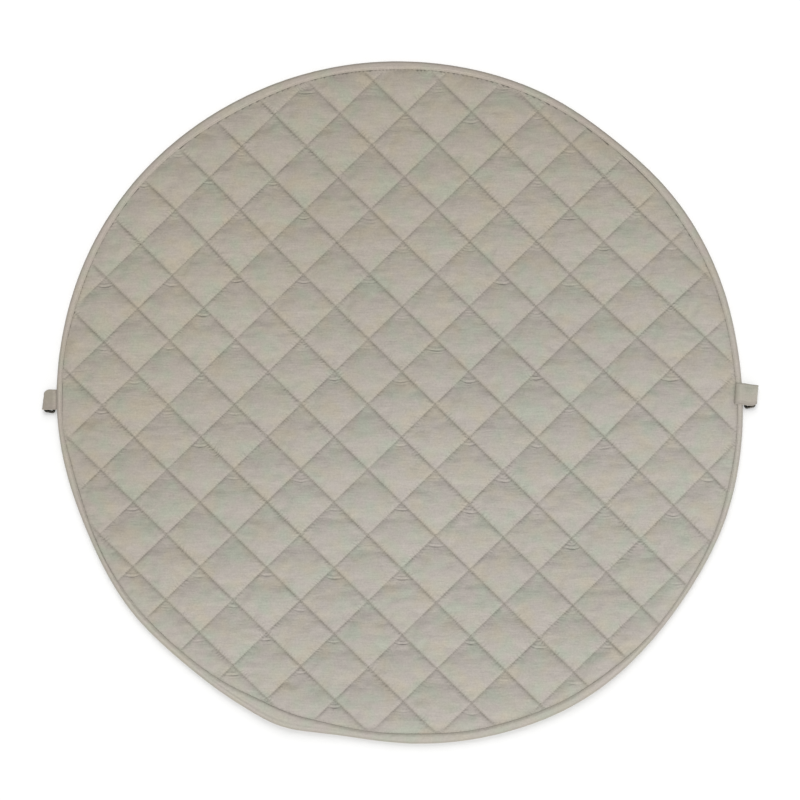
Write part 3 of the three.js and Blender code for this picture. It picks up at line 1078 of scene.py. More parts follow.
@dataclass
class SideTab:
    """A short strip that goes out from the edge, round one bar of its ring and back."""

    side: Side
    frame: SideFrame
    stations: tuple[Station, ...]
    cloth: float = 1.3
    steps_between: int = 9
    steps_across: int = 22
    corner_steps: int = 4
    seed: int = 51
    ripple: float = 0.14
    fine_ripple: float = 0.08
    slimmer: float = 0.2
    hem_ridges: tuple[Mark, ...] = (Mark(0.22, 0.9, 0.9), Mark(-0.16, 2.6, 0.7))
    fold_ridges: tuple[Mark, ...] = (Mark(-0.24, 5.2, 0.7), Mark(0.2, 3.8, 0.8))
    # How dark the tab is painted: a constant tint everywhere, and painted shade at the root, along the run,
    # at the hems and in the right tab's fold lines.
    least_dark: float = 0.3
    most_painted_shade: float = 0.9
    root: Mark = Mark(1.7, 0.6, 1.4)
    left_root_shade: Mark = Mark(0.5, -0.2, 0.8)
    right_fold_shade_lines: tuple[Mark, ...] = (Mark(0.8, 5.6, 0.8), Mark(0.7, 10.0, 0.8))
    right_dent_shade: Mark = Mark(0.45, 7.5, 6.5)
    right_fold_shade_out: Mark = Mark(1.0, 6.2, 4.6)
    hem: Mark = Mark(1.0, 0.0, 1.5)
    hem_line_shade: Mark = Mark(0.5, 4.0, 0.8)

    def path(self) -> Array:
        """The strip's run: a smooth curve through the stations, as out, slant, up, low and high.

        Between two stations each value is a cubic that takes its slope from the stations on both sides.
        """
        knots = np.array([[s.out, s.slant, s.up, s.low, s.high] for s in self.stations], float)
        padded = np.concatenate([knots[:1] * 2 - knots[1:2], knots, knots[-1:] * 2 - knots[-2:-1]])
        t = (np.arange(self.steps_between) / self.steps_between)[None, :, None]
        p0, p1, p2, p3 = (padded[i : i + len(knots) - 1, None, :] for i in range(4))
        curve = p1 + 0.5 * t * (p2 - p0) + t**2 * (p0 - 2.5 * p1 + 2 * p2 - 0.5 * p3)
        curve = curve + t**3 * (1.5 * (p1 - p2) + 0.5 * (p3 - p0))
        return np.concatenate([curve.reshape(-1, 5), knots[-1:]])

    def outward(self, path: Array) -> Array:
        """The way out of the strip's outer face at each step, as out and up."""
        run = np.gradient(path[:, [0, 2]], axis=0)
        run = unit(run)
        return np.stack([-run[:, 1], run[:, 0]], axis=1)

    def section(self) -> tuple[Array, Array]:
        """The strip's section: places across from 0 to 1 and sides of the cloth from -1 to 1, all round."""
        hem = np.linspace(0, np.pi, self.corner_steps + 2)[1:-1]
        part = np.linspace(0.0, 1.0, self.steps_across)
        across = np.concatenate([part, 1 + 0.02 * np.sin(hem), part[::-1], -0.02 * np.sin(hem)])
        side = np.concatenate([np.ones_like(part), np.cos(hem), -np.ones_like(part), -np.cos(hem)])
        return across, side

    def build(self) -> bpy.types.Object:
        """Makes the tab as one closed strip with capped ends and soft ripples across its face."""
        path = self.path()
        normal = self.outward(path)
        across, side = self.section()
        width = path[:, 4] - path[:, 3]
        place = path[:, 3][:, None] + width[:, None] * across[None, :]
        run = np.concatenate([[0], np.cumsum(np.linalg.norm(np.diff(path[:, [0, 2]], axis=0), axis=1))])
        seed = self.seed if self.side is Side.LEFT else self.seed + 1
        ripple = self.ripple * Grain(6, 2.4, seed).at(run[:, None], place)
        ripple = ripple + self.fine_ripple * Grain(2.8, 7, seed + 4).at(run[:, None], place)
        to_hem = np.minimum(across, 1 - across)[None, :] * width[:, None]
        past_fold = (run - run[np.argmax(path[:, 0])])[:, None]
        ridges = sum(mark.over(to_hem) for mark in self.hem_ridges)
        for mark in self.fold_ridges:
            ridges = ridges + mark.over(past_fold)
        on_face = np.where(np.abs(side) == 1.0, 1, 0)[None, :]
        half = side[None, :] * (self.cloth / 2 - self.slimmer + ridges) + ripple * on_face
        out = path[:, 0][:, None] + path[:, 1][:, None] * place + normal[:, 0][:, None] * half
        up = path[:, 2][:, None] + normal[:, 1][:, None] * half
        points = self.frame.to_mat(np.stack([out, place, up], axis=-1))
        faces, corners = loft_faces(*place.shape, False, True)
        columns = corners[..., 1] % len(across)
        places = np.stack([run[corners[..., 0]], place[corners[..., 0], columns]], axis=-1)
        loop = np.arange(len(across))[None, :]
        caps = [loop, loop[:, ::-1] + points[:-1, :, 0].size]
        first_cap = np.stack([place[0], half[0]], axis=-1)[None]
        last_cap = np.stack([place[-1], half[-1]], axis=-1)[None, ::-1]
        surface = Surface(points.reshape(-1, 3), [faces, *caps], [places, first_cap, last_cap])
        piece = surface.piece(f"{self.side.value}_cotton_tab")
        mark_points(piece, "seam", self.painted_shade_marks(path, run, across, to_hem).ravel())
        return piece

    def painted_shade_marks(self, path: Array, run: Array, across: Array, to_hem: Array) -> Array:
        """How dark each point is drawn: painted shade at the hems and the root, along the run and in its
        lines, over a constant tint.

        The left tab has painted shade on its outer part, from near its root outwards. The right one has
        painted shade where it is sewn on, and two lines of painted fold shade across it in a broad band of
        painted shade for a shallow dent.

        Args:
            path: the strip's run, with out, slant, up, low and high for each step.
            run: how far along the strip each step is.
            across: places across the strip, from 0 to 1.
            to_hem: how far each point is from the nearer hem.

        Returns:
            The marks, for each step and each place round the section.
        """
        width = path[:, 4] - path[:, 3]
        to_end = np.minimum(run, run[-1] - run)[:, None]
        out = path[:, 0][:, None]
        root = self.root.over(to_end)
        # Painted shade along the run: the left tab's outer part, and the right tab's sewn-on ends.
        if self.side is Side.LEFT:
            painted_shade_along = self.most_painted_shade * smooth_step((out - 2.5) / 6.0)
            root = np.maximum(root, self.left_root_shade.over(out))
            lines = 0.0
        else:
            painted_shade_along = self.most_painted_shade * (1 - smooth_step((to_end - 2.0) / 7.0))
            from_top = (1 - across)[None, :] * width[:, None]
            lines = sum(mark.over(from_top) for mark in self.right_fold_shade_lines)
            lines = np.maximum(lines, self.right_dent_shade.over(from_top)) * self.right_fold_shade_out.over(out)
        at_run = np.maximum(root, painted_shade_along)
        at_hem = np.maximum(self.hem.over(to_hem), self.hem_line_shade.over(to_hem))
        return self.least_dark + np.maximum(np.maximum(at_hem, at_run), lines)


@dataclass
class WireRing:
    """A rectangle of round wire with round corners."""

    side: Side
    frame: SideFrame
    place: RingPlace
    wire: float = 4.0
    length: float = 29.0
    depth: float = 16.4
    corner: float = 2.05
    steps_round: int = 28
    steps_corner: int = 12
    steps_bar: int = 6

    def middle_line(self) -> tuple[Array, Array]:
        """The wire's middle line, as out and across, and the way outwards from it at each point."""
        long = (self.length - self.wire) / 2 - self.corner
        deep = (self.depth - self.wire) / 2 - self.corner
        corners = ((deep, long, 0), (-deep, long, 90), (-deep, -long, 180), (deep, -long, 270))
        points = []
        ways = []
        for index, (out, across, start) in enumerate(corners):
            turn = np.radians(start + np.linspace(0, 90, self.steps_corner + 1))
            way = np.stack([np.cos(turn), np.sin(turn)], axis=1)
            arc = np.array([out, across]) + self.corner * way
            following = corners[(index + 1) % 4]
            last_way = way[-1]
            next_start = np.array(following[:2]) + self.corner * last_way
            share = (np.arange(1, self.steps_bar) / self.steps_bar)[:, None]
            points += [arc, arc[-1] + (next_start - arc[-1]) * share]
            ways += [way, np.repeat(last_way[None], self.steps_bar - 1, axis=0)]
        return np.concatenate(points), np.concatenate(ways)

    def build(self) -> bpy.types.Object:
        """Makes the ring: the wire's circle carried along its middle line, then tilted and turned."""
        line, way = self.middle_line()
        angle = np.arange(self.steps_round) * 2 * np.pi / self.steps_round
        reach = self.wire / 2
        flat = line[:, None, :] + way[:, None, :] * (np.cos(angle) * reach)[None, :, None]
        up = np.broadcast_to(np.sin(angle) * reach, flat.shape[:2])
        place = self.place
        tilt = math.asin((place.outer_up - place.inner_up) / (self.depth - self.wire))
        out = flat[..., 0] * math.cos(tilt) - up * math.sin(tilt)
        height = flat[..., 0] * math.sin(tilt) + up * math.cos(tilt)
        turn = math.radians(place.turn)
        turned_out = out * math.cos(turn) - flat[..., 1] * math.sin(turn) + place.out
        turned_across = out * math.sin(turn) + flat[..., 1] * math.cos(turn) + place.across
        middle = (place.inner_up + place.outer_up) / 2
        points = self.frame.to_mat(np.stack([turned_out, turned_across, height + middle], axis=-1))
        faces, _ = loft_faces(*up.shape, True, True)
        return Surface(points.reshape(-1, 3), [faces]).piece(f"{self.side.value}_wire_ring")


# Stitching

@dataclass(frozen=True)
class Stitching:
    """Rows of thread: each stitch is a short low arch that goes into the cloth at both ends."""

    thread: float = 0.5
    length: float = 2.5
    pitch: float = 3.3
    rise: float = 0.28
    sides: int = 5

    def surface(self, middles: Array, ways: Array, up: Array) -> Surface:
        """The joined stitches.

        Along each stitch stand four small rings of points. The middle two are raised by the thread's rise and
        the outer two are smaller and sink in.

        Args:
            middles: the stitches' middles on the cloth.
            ways: the way that each runs.
            up: the way out of the cloth at each.

        Returns:
            One surface with every stitch.
        """
        station = np.array([-1.0, -0.55, 0.55, 1.0])
        lift = self.rise * np.array([-1.0, 1.0, 1.0, -1.0])
        girth = self.thread / 2 * np.array([0.6, 1.0, 1.0, 0.6])
        turn = np.arange(self.sides) * 2 * np.pi / self.sides
        beside = unit(np.cross(up, ways))
        centre = middles[:, None, :] + ways[:, None, :] * (station * self.length / 2)[None, :, None]
        centre = centre + up[:, None, :] * lift[None, :, None]
        sideways = np.cos(turn)[None, :, None] * beside[:, None, :]
        round_it = sideways + np.sin(turn)[None, :, None] * up[:, None, :]
        points = centre[:, :, None, :] + round_it[:, None, :, :] * girth[None, :, None, None]
        faces, _ = loft_faces(len(station), self.sides, False, True)
        ends = np.stack([np.arange(self.sides)[::-1], np.arange(self.sides) + 3 * self.sides])
        shift = (np.arange(len(middles)) * len(station) * self.sides)[:, None, None]
        walls = (faces[None, :, ::-1] + shift).reshape(-1, 4)
        caps = (ends[None] + shift).reshape(-1, self.sides)
        return Surface(points.reshape(-1, 3), [walls, caps])


class RowFamily(Enum):
    """The two families of rows."""

    FALLING = "falling"
    RISING = "rising"


@dataclass
class QuiltStitches:
    """The thread of the quilting, on the face or on the underside, one row after another."""

    pad: QuiltedPad
    stitching: Stitching
    face_drop: float = 0.75
    underside_drop: float = 0.1
    from_binding: float = 1.5
    step_ahead: float = 0.01

    def rows_of(self, family: RowFamily) -> tuple[Array, Array]:
        """Counts of every stitch of one family: its row, and how far along the row it is."""
        rows = self.pad.rows
        across_ends = rows.falling_ends if family is RowFamily.FALLING else rows.rising_ends
        along_ends = rows.rising_ends if family is RowFamily.FALLING else rows.falling_ends
        row = np.arange(across_ends[0] + 1, across_ends[1])
        along = np.arange(along_ends[0], along_ends[1], self.stitching.pitch / rows.pitch)
        across_grid, along_grid = np.meshgrid(row, along, indexing="ij")
        return across_grid.ravel(), along_grid.ravel()

    def build(self, family: RowFamily, above: bool) -> bpy.types.Object:
        """Makes the stitches of one family on one face.

        Args:
            family: which rows.
            above: whether they lie on the face, and not on the underside.

        Returns:
            The stitches, joined.
        """
        across, along = self.rows_of(family)
        order = 1 if family is RowFamily.FALLING else -1
        x, y = self.pad.rows.place(*(across, along)[::order])
        next_x, next_y = self.pad.rows.place(*(across, along + self.step_ahead)[::order])
        angle = self.pad.edge.turn_of(x, y)
        hidden = self.pad.edge.band_shown(angle) if above else self.pad.binding_underside
        kept = self.pad.edge.inward(x, y) - hidden > self.from_binding
        level = self.pad.valley - self.face_drop if above else self.pad.under_relief - self.underside_drop
        height = level + self.pad.lift_share(x, y)
        middles = np.stack([x, y, height], axis=-1)[kept]
        ways = unit(np.stack([next_x - x, next_y - y, np.zeros_like(x)], axis=-1)[kept])
        up = np.zeros_like(middles)
        up[:, 2] = 1.0 if above else -1.0
        face = "face" if above else "underside"
        return self.stitching.surface(middles, ways, up).piece(f"{family.value}_stitches_{face}")


# Finishes

def paint(red: int, green: int, blue: int) -> tuple[float, float, float, float]:
    """A colour given from 0 to 255 as seen on a screen, as the light that a shader takes."""
    parts = [c / 255 for c in (red, green, blue)]
    return tuple(c / 12.92 if c <= 0.04045 else ((c + 0.055) / 1.055) ** 2.4 for c in parts) + (1.0,)


@dataclass
class NodeSketch:
    """Places nodes in one tree and joins them up."""

    tree: bpy.types.NodeTree

    def place(self, kind: str, inputs: dict[Any, Any] | None = None, **settings: Any) -> bpy.types.Node:
        """Adds a node.

        Args:
            kind: the node's type.
            inputs: a value or another node's output for each named or numbered input.
            **settings: the node's own settings.

        Returns:
            The node.
        """
        node = self.tree.nodes.new(kind)
        for name, value in settings.items():
            setattr(node, name, value)
        for name, value in (inputs or {}).items():
            if isinstance(value, bpy.types.NodeSocket):
                self.tree.links.new(value, node.inputs[name])
            else:
                node.inputs[name].default_value = value
        return node

    def sum(self, operation: str, *values: Any) -> Socket:
        """The result of a Math node on one to three values."""
        return self.place("ShaderNodeMath", dict(enumerate(values)), operation=operation).outputs[0]

    def mix(self, share: Any, first: Any, second: Any, **settings: Any) -> Socket:
        """A colour between two, by a share."""
        inputs = {0: share, 6: first, 7: second}
        return self.place("ShaderNodeMix", inputs, data_type="RGBA", **settings).outputs[2]

    def noise(self, vector: Any, scale: float, detail: float = 2.0, roughness: float = 0.5) -> Socket:
        """Noise from 0 to 1 at a scale in bumps to the metre."""
        inputs = {"Vector": vector, "Scale": scale, "Detail": detail, "Roughness": roughness}
        return self.place("ShaderNodeTexNoise", inputs).outputs[0]

    def stretched(self, vector: Any, scale: tuple[float, float, float], turn: float = 0.0) -> Socket:
        """A vector turned about Z and scaled along each axis."""
        inputs = {"Vector": vector, "Rotation": (0, 0, math.radians(turn)), "Scale": scale}
        return self.place("ShaderNodeMapping", inputs).outputs[0]

    def scaled(self, vector: Any, scale: Any) -> Socket:
        """A vector or a colour times a number."""
        return self.place("ShaderNodeVectorMath", {0: vector, 3: scale}, operation="SCALE").outputs[0]

    def span(self, value: Any, low: float, high: float, to_low: float, to_high: float) -> Socket:
        """A value moved from one span to another, and held inside it."""
        inputs = {0: value, 1: low, 2: high, 3: to_low, 4: to_high}
        return self.place("ShaderNodeMapRange", inputs, clamp=True).outputs[0]

    def bell(self, value: Any, reach: float) -> Socket:
        """A bell curve of a value: one at nothing, and fading over the reach."""
        share = self.sum("MULTIPLY", value, 1 / reach)
        return self.sum("EXPONENT", self.sum("MULTIPLY", self.sum("MULTIPLY", share, share), -0.5))

    def group(self, tree: bpy.types.NodeTree, inputs: dict[str, Any]) -> bpy.types.Node:
        """Places a node group with its own values."""
        return self.place("ShaderNodeGroup", inputs, node_tree=tree)


def shader_group(
    name: str,
    inputs: Sequence[tuple[str, str, Any]],
    outputs: Sequence[tuple[str, str]],
    fill: Callable[[NodeSketch, bpy.types.Node], dict[str, Socket]],
) -> bpy.types.NodeTree:
    """Builds a node group.

    Args:
        name: the group's name.
        inputs: each input's name, kind of socket and first value.
        outputs: each output's name and kind of socket.
        fill: what draws the group from its input node and gives back its outputs.

    Returns:
        The group's tree.
    """
    tree = bpy.data.node_groups.new(name, "ShaderNodeTree")
    for label, kind, value in inputs:
        socket = tree.interface.new_socket(name=label, in_out="INPUT", socket_type=kind)
        if value is not None:
            socket.default_value = value
    for label, kind in outputs:
        tree.interface.new_socket(name=label, in_out="OUTPUT", socket_type=kind)
    sketch = NodeSketch(tree)
    results = fill(sketch, sketch.place("NodeGroupInput"))
    ending = sketch.place("NodeGroupOutput")
    for label, socket in results.items():
        tree.links.new(socket, ending.inputs[label])
    return tree


def plain_weave() -> bpy.types.NodeTree:
    """Threads over and under: two sets of ridges, each higher where it passes over the other."""

    def fill(sketch: NodeSketch, given: bpy.types.Node) -> dict[str, Socket]:
        wobble = sketch.noise(given.outputs["Vector"], 220.0, 1.0)
        scaled = sketch.scaled(given.outputs["Vector"], given.outputs["Threads"])
        axes = sketch.place("ShaderNodeSeparateXYZ", {0: scaled})
        shifted = [sketch.sum("MULTIPLY_ADD", wobble, 1.6, axis) for axis in axes.outputs[:2]]
        ridges = [sketch.sum("SINE", axis) for axis in shifted]
        over = sketch.sum("MULTIPLY", *ridges)
        threads = []
        for ridge, rise in zip(ridges, (0.3, -0.3)):
            raised = sketch.sum("MULTIPLY_ADD", over, rise, 0.7)
            threads.append(sketch.sum("MULTIPLY", sketch.sum("ABSOLUTE", ridge), raised))
        height = sketch.sum("MAXIMUM", *threads)
        slub_vector = sketch.stretched(given.outputs["Vector"], (60, 900, 60))
        slub = sketch.noise(slub_vector, 1.0, 2.0)
        return {"Height": height, "Slub": slub}

    return shader_group(
        "plain weave",
        [("Vector", "NodeSocketVector", None), ("Threads", "NodeSocketFloat", 5600.0)],
        [("Height", "NodeSocketFloat"), ("Slub", "NodeSocketFloat")],
        fill,
    )


def washed_colour() -> bpy.types.NodeTree:
    """Cotton's uneven colour: soft blotches between four near tints, finer clouds, and slubs along the weft.

    It turns a little darker and yellower towards the far side and the rim.
    """

    def fill(sketch: NodeSketch, given: bpy.types.Node) -> dict[str, Socket]:
        vector = given.outputs["Vector"]
        first = sketch.span(sketch.noise(vector, 26.0, 1.5), 0.38, 0.62, 0, 1)
        elsewhere = {0: vector, 1: (3.1, 1.7, 0.4)}
        moved = sketch.place("ShaderNodeVectorMath", elsewhere, operation="ADD").outputs[0]
        second = sketch.span(sketch.noise(moved, 34.0, 1.5), 0.38, 0.62, 0, 1)
        broad = sketch.span(sketch.noise(vector, 3.2, 1.0), 0.35, 0.65, 0, 1)
        tints = sketch.mix(first, given.outputs["Green"], given.outputs["Warm"])
        tints = sketch.mix(second, tints, given.outputs["Rose"])
        base = sketch.mix(0.45, given.outputs["Base"], tints)
        cloud = sketch.span(sketch.noise(vector, 400.0, 3.0, 0.6), 0.3, 0.7, 0.925, 1.075)
        level = sketch.sum("MULTIPLY", cloud, sketch.span(broad, 0, 1, 0.975, 1.02))
        slub = sketch.span(given.outputs["Slub"], 0.3, 0.7, 0.96, 1.04)
        level = sketch.sum("MULTIPLY", level, slub)
        # A darker, yellower tint that grows towards the far side and the rim.
        axes = sketch.place("ShaderNodeSeparateXYZ", {0: vector}).outputs
        outwards = sketch.sum("MULTIPLY_ADD", axes[0], axes[0], sketch.sum("MULTIPLY", axes[1], axes[1]))
        lean = sketch.sum("MULTIPLY_ADD", axes[0], -0.55, axes[1])
        far_and_rim_tint = sketch.span(sketch.sum("MULTIPLY_ADD", outwards, 0.9, lean), -0.1, 0.43, 0.0, 1.0)
        base = sketch.mix(far_and_rim_tint, base, given.outputs["Far and rim tint"], blend_type="MULTIPLY")
        return {"Color": sketch.scaled(base, level)}

    return shader_group(
        "washed colour",
        [
            ("Vector", "NodeSocketVector", None),
            ("Slub", "NodeSocketFloat", 0.5),
            *[(name, "NodeSocketColor", None) for name in ("Base", "Green", "Warm", "Rose", "Far and rim tint")],
        ],
        [("Color", "NodeSocketColor")],
        fill,
    )


def crumpled() -> bpy.types.NodeTree:
    """Fine crumples of washed cloth: noise drawn out one way, with finer noise over it."""

    def fill(sketch: NodeSketch, given: bpy.types.Node) -> dict[str, Socket]:
        vector = given.outputs["Vector"]
        drawn = sketch.noise(sketch.stretched(vector, (60, 270, 100), 4.0), 1.0, 3.0, 0.6)
        other = sketch.noise(sketch.stretched(vector, (240, 130, 100), -8.0), 1.0, 2.0)
        return {"Height": sketch.sum("MULTIPLY_ADD", other, 0.45, drawn)}

    return shader_group(
        "crumpled cloth",
        [("Vector", "NodeSocketVector", None)],
        [("Height", "NodeSocketFloat")],
        fill,
    )


def sewn_folds() -> bpy.types.NodeTree:
    """The small folds that the quilting draws up, in millimetres.

    Beside each row stand gathers, a wave along it whose length wanders, and along it the stitches' dimples.
    Under the top corner of many squares lies an arched tuck, a trough with a lip above it at a distance from
    the corner, and under some a stack of finer ones. Each square draws its own distance and strengths.
    """

    def fill(sketch: NodeSketch, given: bpy.types.Node) -> dict[str, Socket]:
        pitch = QuiltRows.pitch
        counts = sketch.place("ShaderNodeSeparateXYZ", {0: given.outputs["Place"]}).outputs[:2]
        shifted = [sketch.sum("ADD", count, 0.5) for count in counts]
        cells = [sketch.sum("FLOOR", count) for count in shifted]
        parts = [sketch.sum("FRACT", count) for count in shifted]
        wander = sketch.noise(given.outputs["Vector"], 42.0, 1.0)
        patches = sketch.span(sketch.noise(given.outputs["Vector"], 17.0, 1.0), 0.4, 0.62, 0.25, 1.0)
        height = 0.0
        for part, along in zip(parts, reversed(counts)):
            away = sketch.sum("MULTIPLY", sketch.sum("PINGPONG", part, 0.5), pitch)
            run = sketch.sum("MULTIPLY", along, 2 * math.pi * pitch)
            phase = sketch.sum("MULTIPLY_ADD", wander, 22.0, sketch.sum("DIVIDE", run, 6.2))
            beside = sketch.bell(sketch.sum("SUBTRACT", away, 3.0), 2.0)
            gathers = sketch.sum("MULTIPLY", sketch.sum("SINE", phase), beside)
            height = sketch.sum("MULTIPLY_ADD", sketch.sum("MULTIPLY", gathers, patches), 0.22, height)
            dimples = sketch.sum("SINE", sketch.sum("DIVIDE", run, 3.3))
            dimples = sketch.sum("MULTIPLY", dimples, sketch.bell(away, 1.3))
            height = sketch.sum("MULTIPLY_ADD", dimples, 0.16, height)
        cell = sketch.place("ShaderNodeCombineXYZ", {0: cells[0], 1: cells[1]}).outputs[0]
        own = sketch.place("ShaderNodeTexWhiteNoise", {"Vector": cell}, noise_dimensions="2D")
        near, strong, fine = sketch.place("ShaderNodeSeparateColor", {0: own.outputs["Color"]}).outputs
        left, right = (sketch.sum("MULTIPLY_ADD", part, -pitch, pitch) for part in parts)
        squared = sketch.sum("MULTIPLY_ADD", left, left, sketch.sum("MULTIPLY", right, right))
        away = sketch.sum("SQRT", squared)
        lean = sketch.sum("DIVIDE", sketch.sum("SUBTRACT", left, right), sketch.sum("ADD", away, 1.0))
        wedge = sketch.bell(lean, 0.5)
        chord = sketch.sum("MULTIPLY", sketch.sum("ADD", left, right), math.sqrt(0.5))
        bowed = sketch.sum("MULTIPLY_ADD", sketch.sum("SUBTRACT", chord, away), 0.45, away)
        past = sketch.sum("SUBTRACT", sketch.sum("MULTIPLY_ADD", wander, 5.0, bowed), 13.0)
        past = sketch.sum("MULTIPLY_ADD", near, -8.0, past)
        lip = sketch.bell(sketch.sum("ADD", past, 2.4), 1.2)
        tuck = sketch.sum("MULTIPLY_ADD", lip, 0.7, sketch.sum("MULTIPLY", sketch.bell(past, 1.0), -1.5))
        tuck = sketch.sum("MULTIPLY", tuck, sketch.span(strong, 0.4, 0.95, 0.0, 1.0))
        waves = sketch.sum("SINE", sketch.sum("MULTIPLY", past, 1.2))
        stack = sketch.sum("MULTIPLY", waves, sketch.bell(past, 4.5))
        stack = sketch.sum("MULTIPLY", stack, sketch.span(fine, 0.45, 1.0, 0.0, 0.26))
        folds = sketch.sum("MULTIPLY", sketch.sum("ADD", tuck, stack), wedge)
        return {"Height": sketch.sum("ADD", height, folds)}

    return shader_group(
        "sewn folds",
        [("Place", "NodeSocketVector", None), ("Vector", "NodeSocketVector", None)],
        [("Height", "NodeSocketFloat")],
        fill,
    )


@dataclass(frozen=True)
class Groups:
    """The shared node groups."""

    weave: bpy.types.NodeTree
    colour: bpy.types.NodeTree
    crumples: bpy.types.NodeTree
    folds: bpy.types.NodeTree

    @classmethod
    def build(cls) -> "Groups":
        """Builds each group once."""
        return cls(plain_weave(), washed_colour(), crumpled(), sewn_folds())


def new_material(name: str) -> tuple[bpy.types.Material, NodeSketch, bpy.types.Node]:
    """A material with its tree and its Principled shader."""
    material = bpy.data.materials.new(name)
    material.use_nodes = True
    tree = material.node_tree
    return material, NodeSketch(tree), tree.nodes["Principled BSDF"]


@dataclass(frozen=True)
class CottonFinish:
    """Washed plain-woven cotton, with painted shade mixed in where its seam mark is high, as in the seams."""

    name: str
    base: tuple[float, float, float, float]
    green: tuple[float, float, float, float]
    warm: tuple[float, float, float, float]
    rose: tuple[float, float, float, float]
    seam_shade: tuple[float, float, float, float]
    painted_shade_share: float
    crumple_depth: float
    far_and_rim_tint: tuple[float, float, float, float]
    by_strip: bool = False
    threads: float = 5600.0
    weave_depth: float = 0.12

    def build(self, groups: Groups) -> bpy.types.Material:
        """Draws the material."""
        material, sketch, shader = new_material(self.name)
        spots = sketch.place("ShaderNodeTexCoord")
        vector = spots.outputs["UV" if self.by_strip else "Object"]
        weave = sketch.group(groups.weave, {"Vector": vector, "Threads": self.threads})
        colour_inputs = {
            "Vector": spots.outputs["Object"],
            "Slub": weave.outputs["Slub"],
            "Base": self.base,
            "Green": self.green,
            "Warm": self.warm,
            "Rose": self.rose,
            "Far and rim tint": self.far_and_rim_tint,
        }
        colour = sketch.group(groups.colour, colour_inputs).outputs["Color"]
        gap = sketch.span(weave.outputs["Height"], 0.0, 0.5, 0.86, 1.0)
        colour = sketch.scaled(colour, gap)
        # Painted shade: the seam mark mixes in the dark seam shade colour.
        seam = sketch.place("ShaderNodeAttribute", attribute_name="seam").outputs["Fac"]
        colour = sketch.mix(sketch.sum("MULTIPLY", seam, self.painted_shade_share), colour, self.seam_shade)
        crumples = sketch.group(groups.crumples, {"Vector": spots.outputs["Object"]}).outputs["Height"]
        relief_inputs = {"Strength": 1.0, "Distance": self.crumple_depth * MM, "Height": crumples}
        if not self.by_strip:
            place = sketch.place("ShaderNodeAttribute", attribute_name="quilt_place").outputs["Vector"]
            folds = sketch.group(groups.folds, {"Place": place, "Vector": spots.outputs["Object"]})
            fold_inputs = {"Strength": 1.0, "Distance": MM, "Height": folds.outputs["Height"]}
            relief_inputs["Normal"] = sketch.place("ShaderNodeBump", fold_inputs).outputs["Normal"]
        relief = sketch.place("ShaderNodeBump", relief_inputs)
        weave_inputs = {"Strength": 0.7, "Distance": self.weave_depth * MM, "Height": weave.outputs["Height"]}
        fine = sketch.place("ShaderNodeBump", {**weave_inputs, "Normal": relief.outputs["Normal"]})
        rough = sketch.span(weave.outputs["Slub"], 0.2, 0.8, 0.82, 0.95)
        sketch.tree.links.new(colour, shader.inputs["Base Color"])
        sketch.tree.links.new(rough, shader.inputs["Roughness"])
        sketch.tree.links.new(fine.outputs["Normal"], shader.inputs["Normal"])
        shader.inputs["Specular IOR Level"].default_value = 0.25
        shader.inputs["Sheen Weight"].default_value = 0.12
        shader.inputs["Sheen Roughness"].default_value = 0.6
        return material


@dataclass(frozen=True)
class ThreadFinish:
    """Twisted sewing thread, a little glossier than the cloth."""

    name: str
    light: tuple[float, float, float, float]
    dark: tuple[float, float, float, float]
    twists: float = 1500.0

    def build(self) -> bpy.types.Material:
        """Draws the material."""
        material, sketch, shader = new_material(self.name)
        spots = sketch.place("ShaderNodeTexCoord").outputs["Object"]
        axes = sketch.place("ShaderNodeSeparateXYZ", {0: spots})
        lean = sketch.sum("ADD", axes.outputs[0], sketch.sum("MULTIPLY", axes.outputs[2], 1.4))
        twist = sketch.sum("SINE", sketch.sum("MULTIPLY", lean, self.twists * 2 * math.pi))
        shade = sketch.span(sketch.noise(spots, 300.0, 2.0), 0.3, 0.7, 0, 1)
        colour = sketch.mix(shade, self.dark, self.light)
        bump = sketch.place("ShaderNodeBump", {"Strength": 0.5, "Distance": 0.06 * MM, "Height": twist})
        sketch.tree.links.new(colour, shader.inputs["Base Color"])
        sketch.tree.links.new(bump.outputs["Normal"], shader.inputs["Normal"])
        shader.inputs["Roughness"].default_value = 0.6
        return material


@dataclass(frozen=True)
class WireFinish:
    """Dark plated wire, with fine scratches along it and plating that is rubbed in places."""

    name: str
    plate: tuple[float, float, float, float]
    rubbed: tuple[float, float, float, float]

    def build(self) -> bpy.types.Material:
        """Draws the material."""
        material, sketch, shader = new_material(self.name)
        spots = sketch.place("ShaderNodeTexCoord").outputs["Object"]
        wear = sketch.span(sketch.noise(spots, 420.0, 4.0, 0.65), 0.52, 0.72, 0, 1)
        scratches = sketch.noise(sketch.stretched(spots, (300, 5200, 5200)), 1.0, 2.0)
        rough = sketch.sum("MULTIPLY_ADD", wear, 0.12, sketch.span(scratches, 0.3, 0.7, 0.2, 0.36))
        bump = sketch.place("ShaderNodeBump", {"Strength": 0.25, "Distance": 0.03 * MM, "Height": scratches})
        sketch.tree.links.new(sketch.mix(wear, self.plate, self.rubbed), shader.inputs["Base Color"])
        sketch.tree.links.new(rough, shader.inputs["Roughness"])
        sketch.tree.links.new(bump.outputs["Normal"], shader.inputs["Normal"])
        shader.inputs["Metallic"].default_value = 0.92
        return material


# The studio

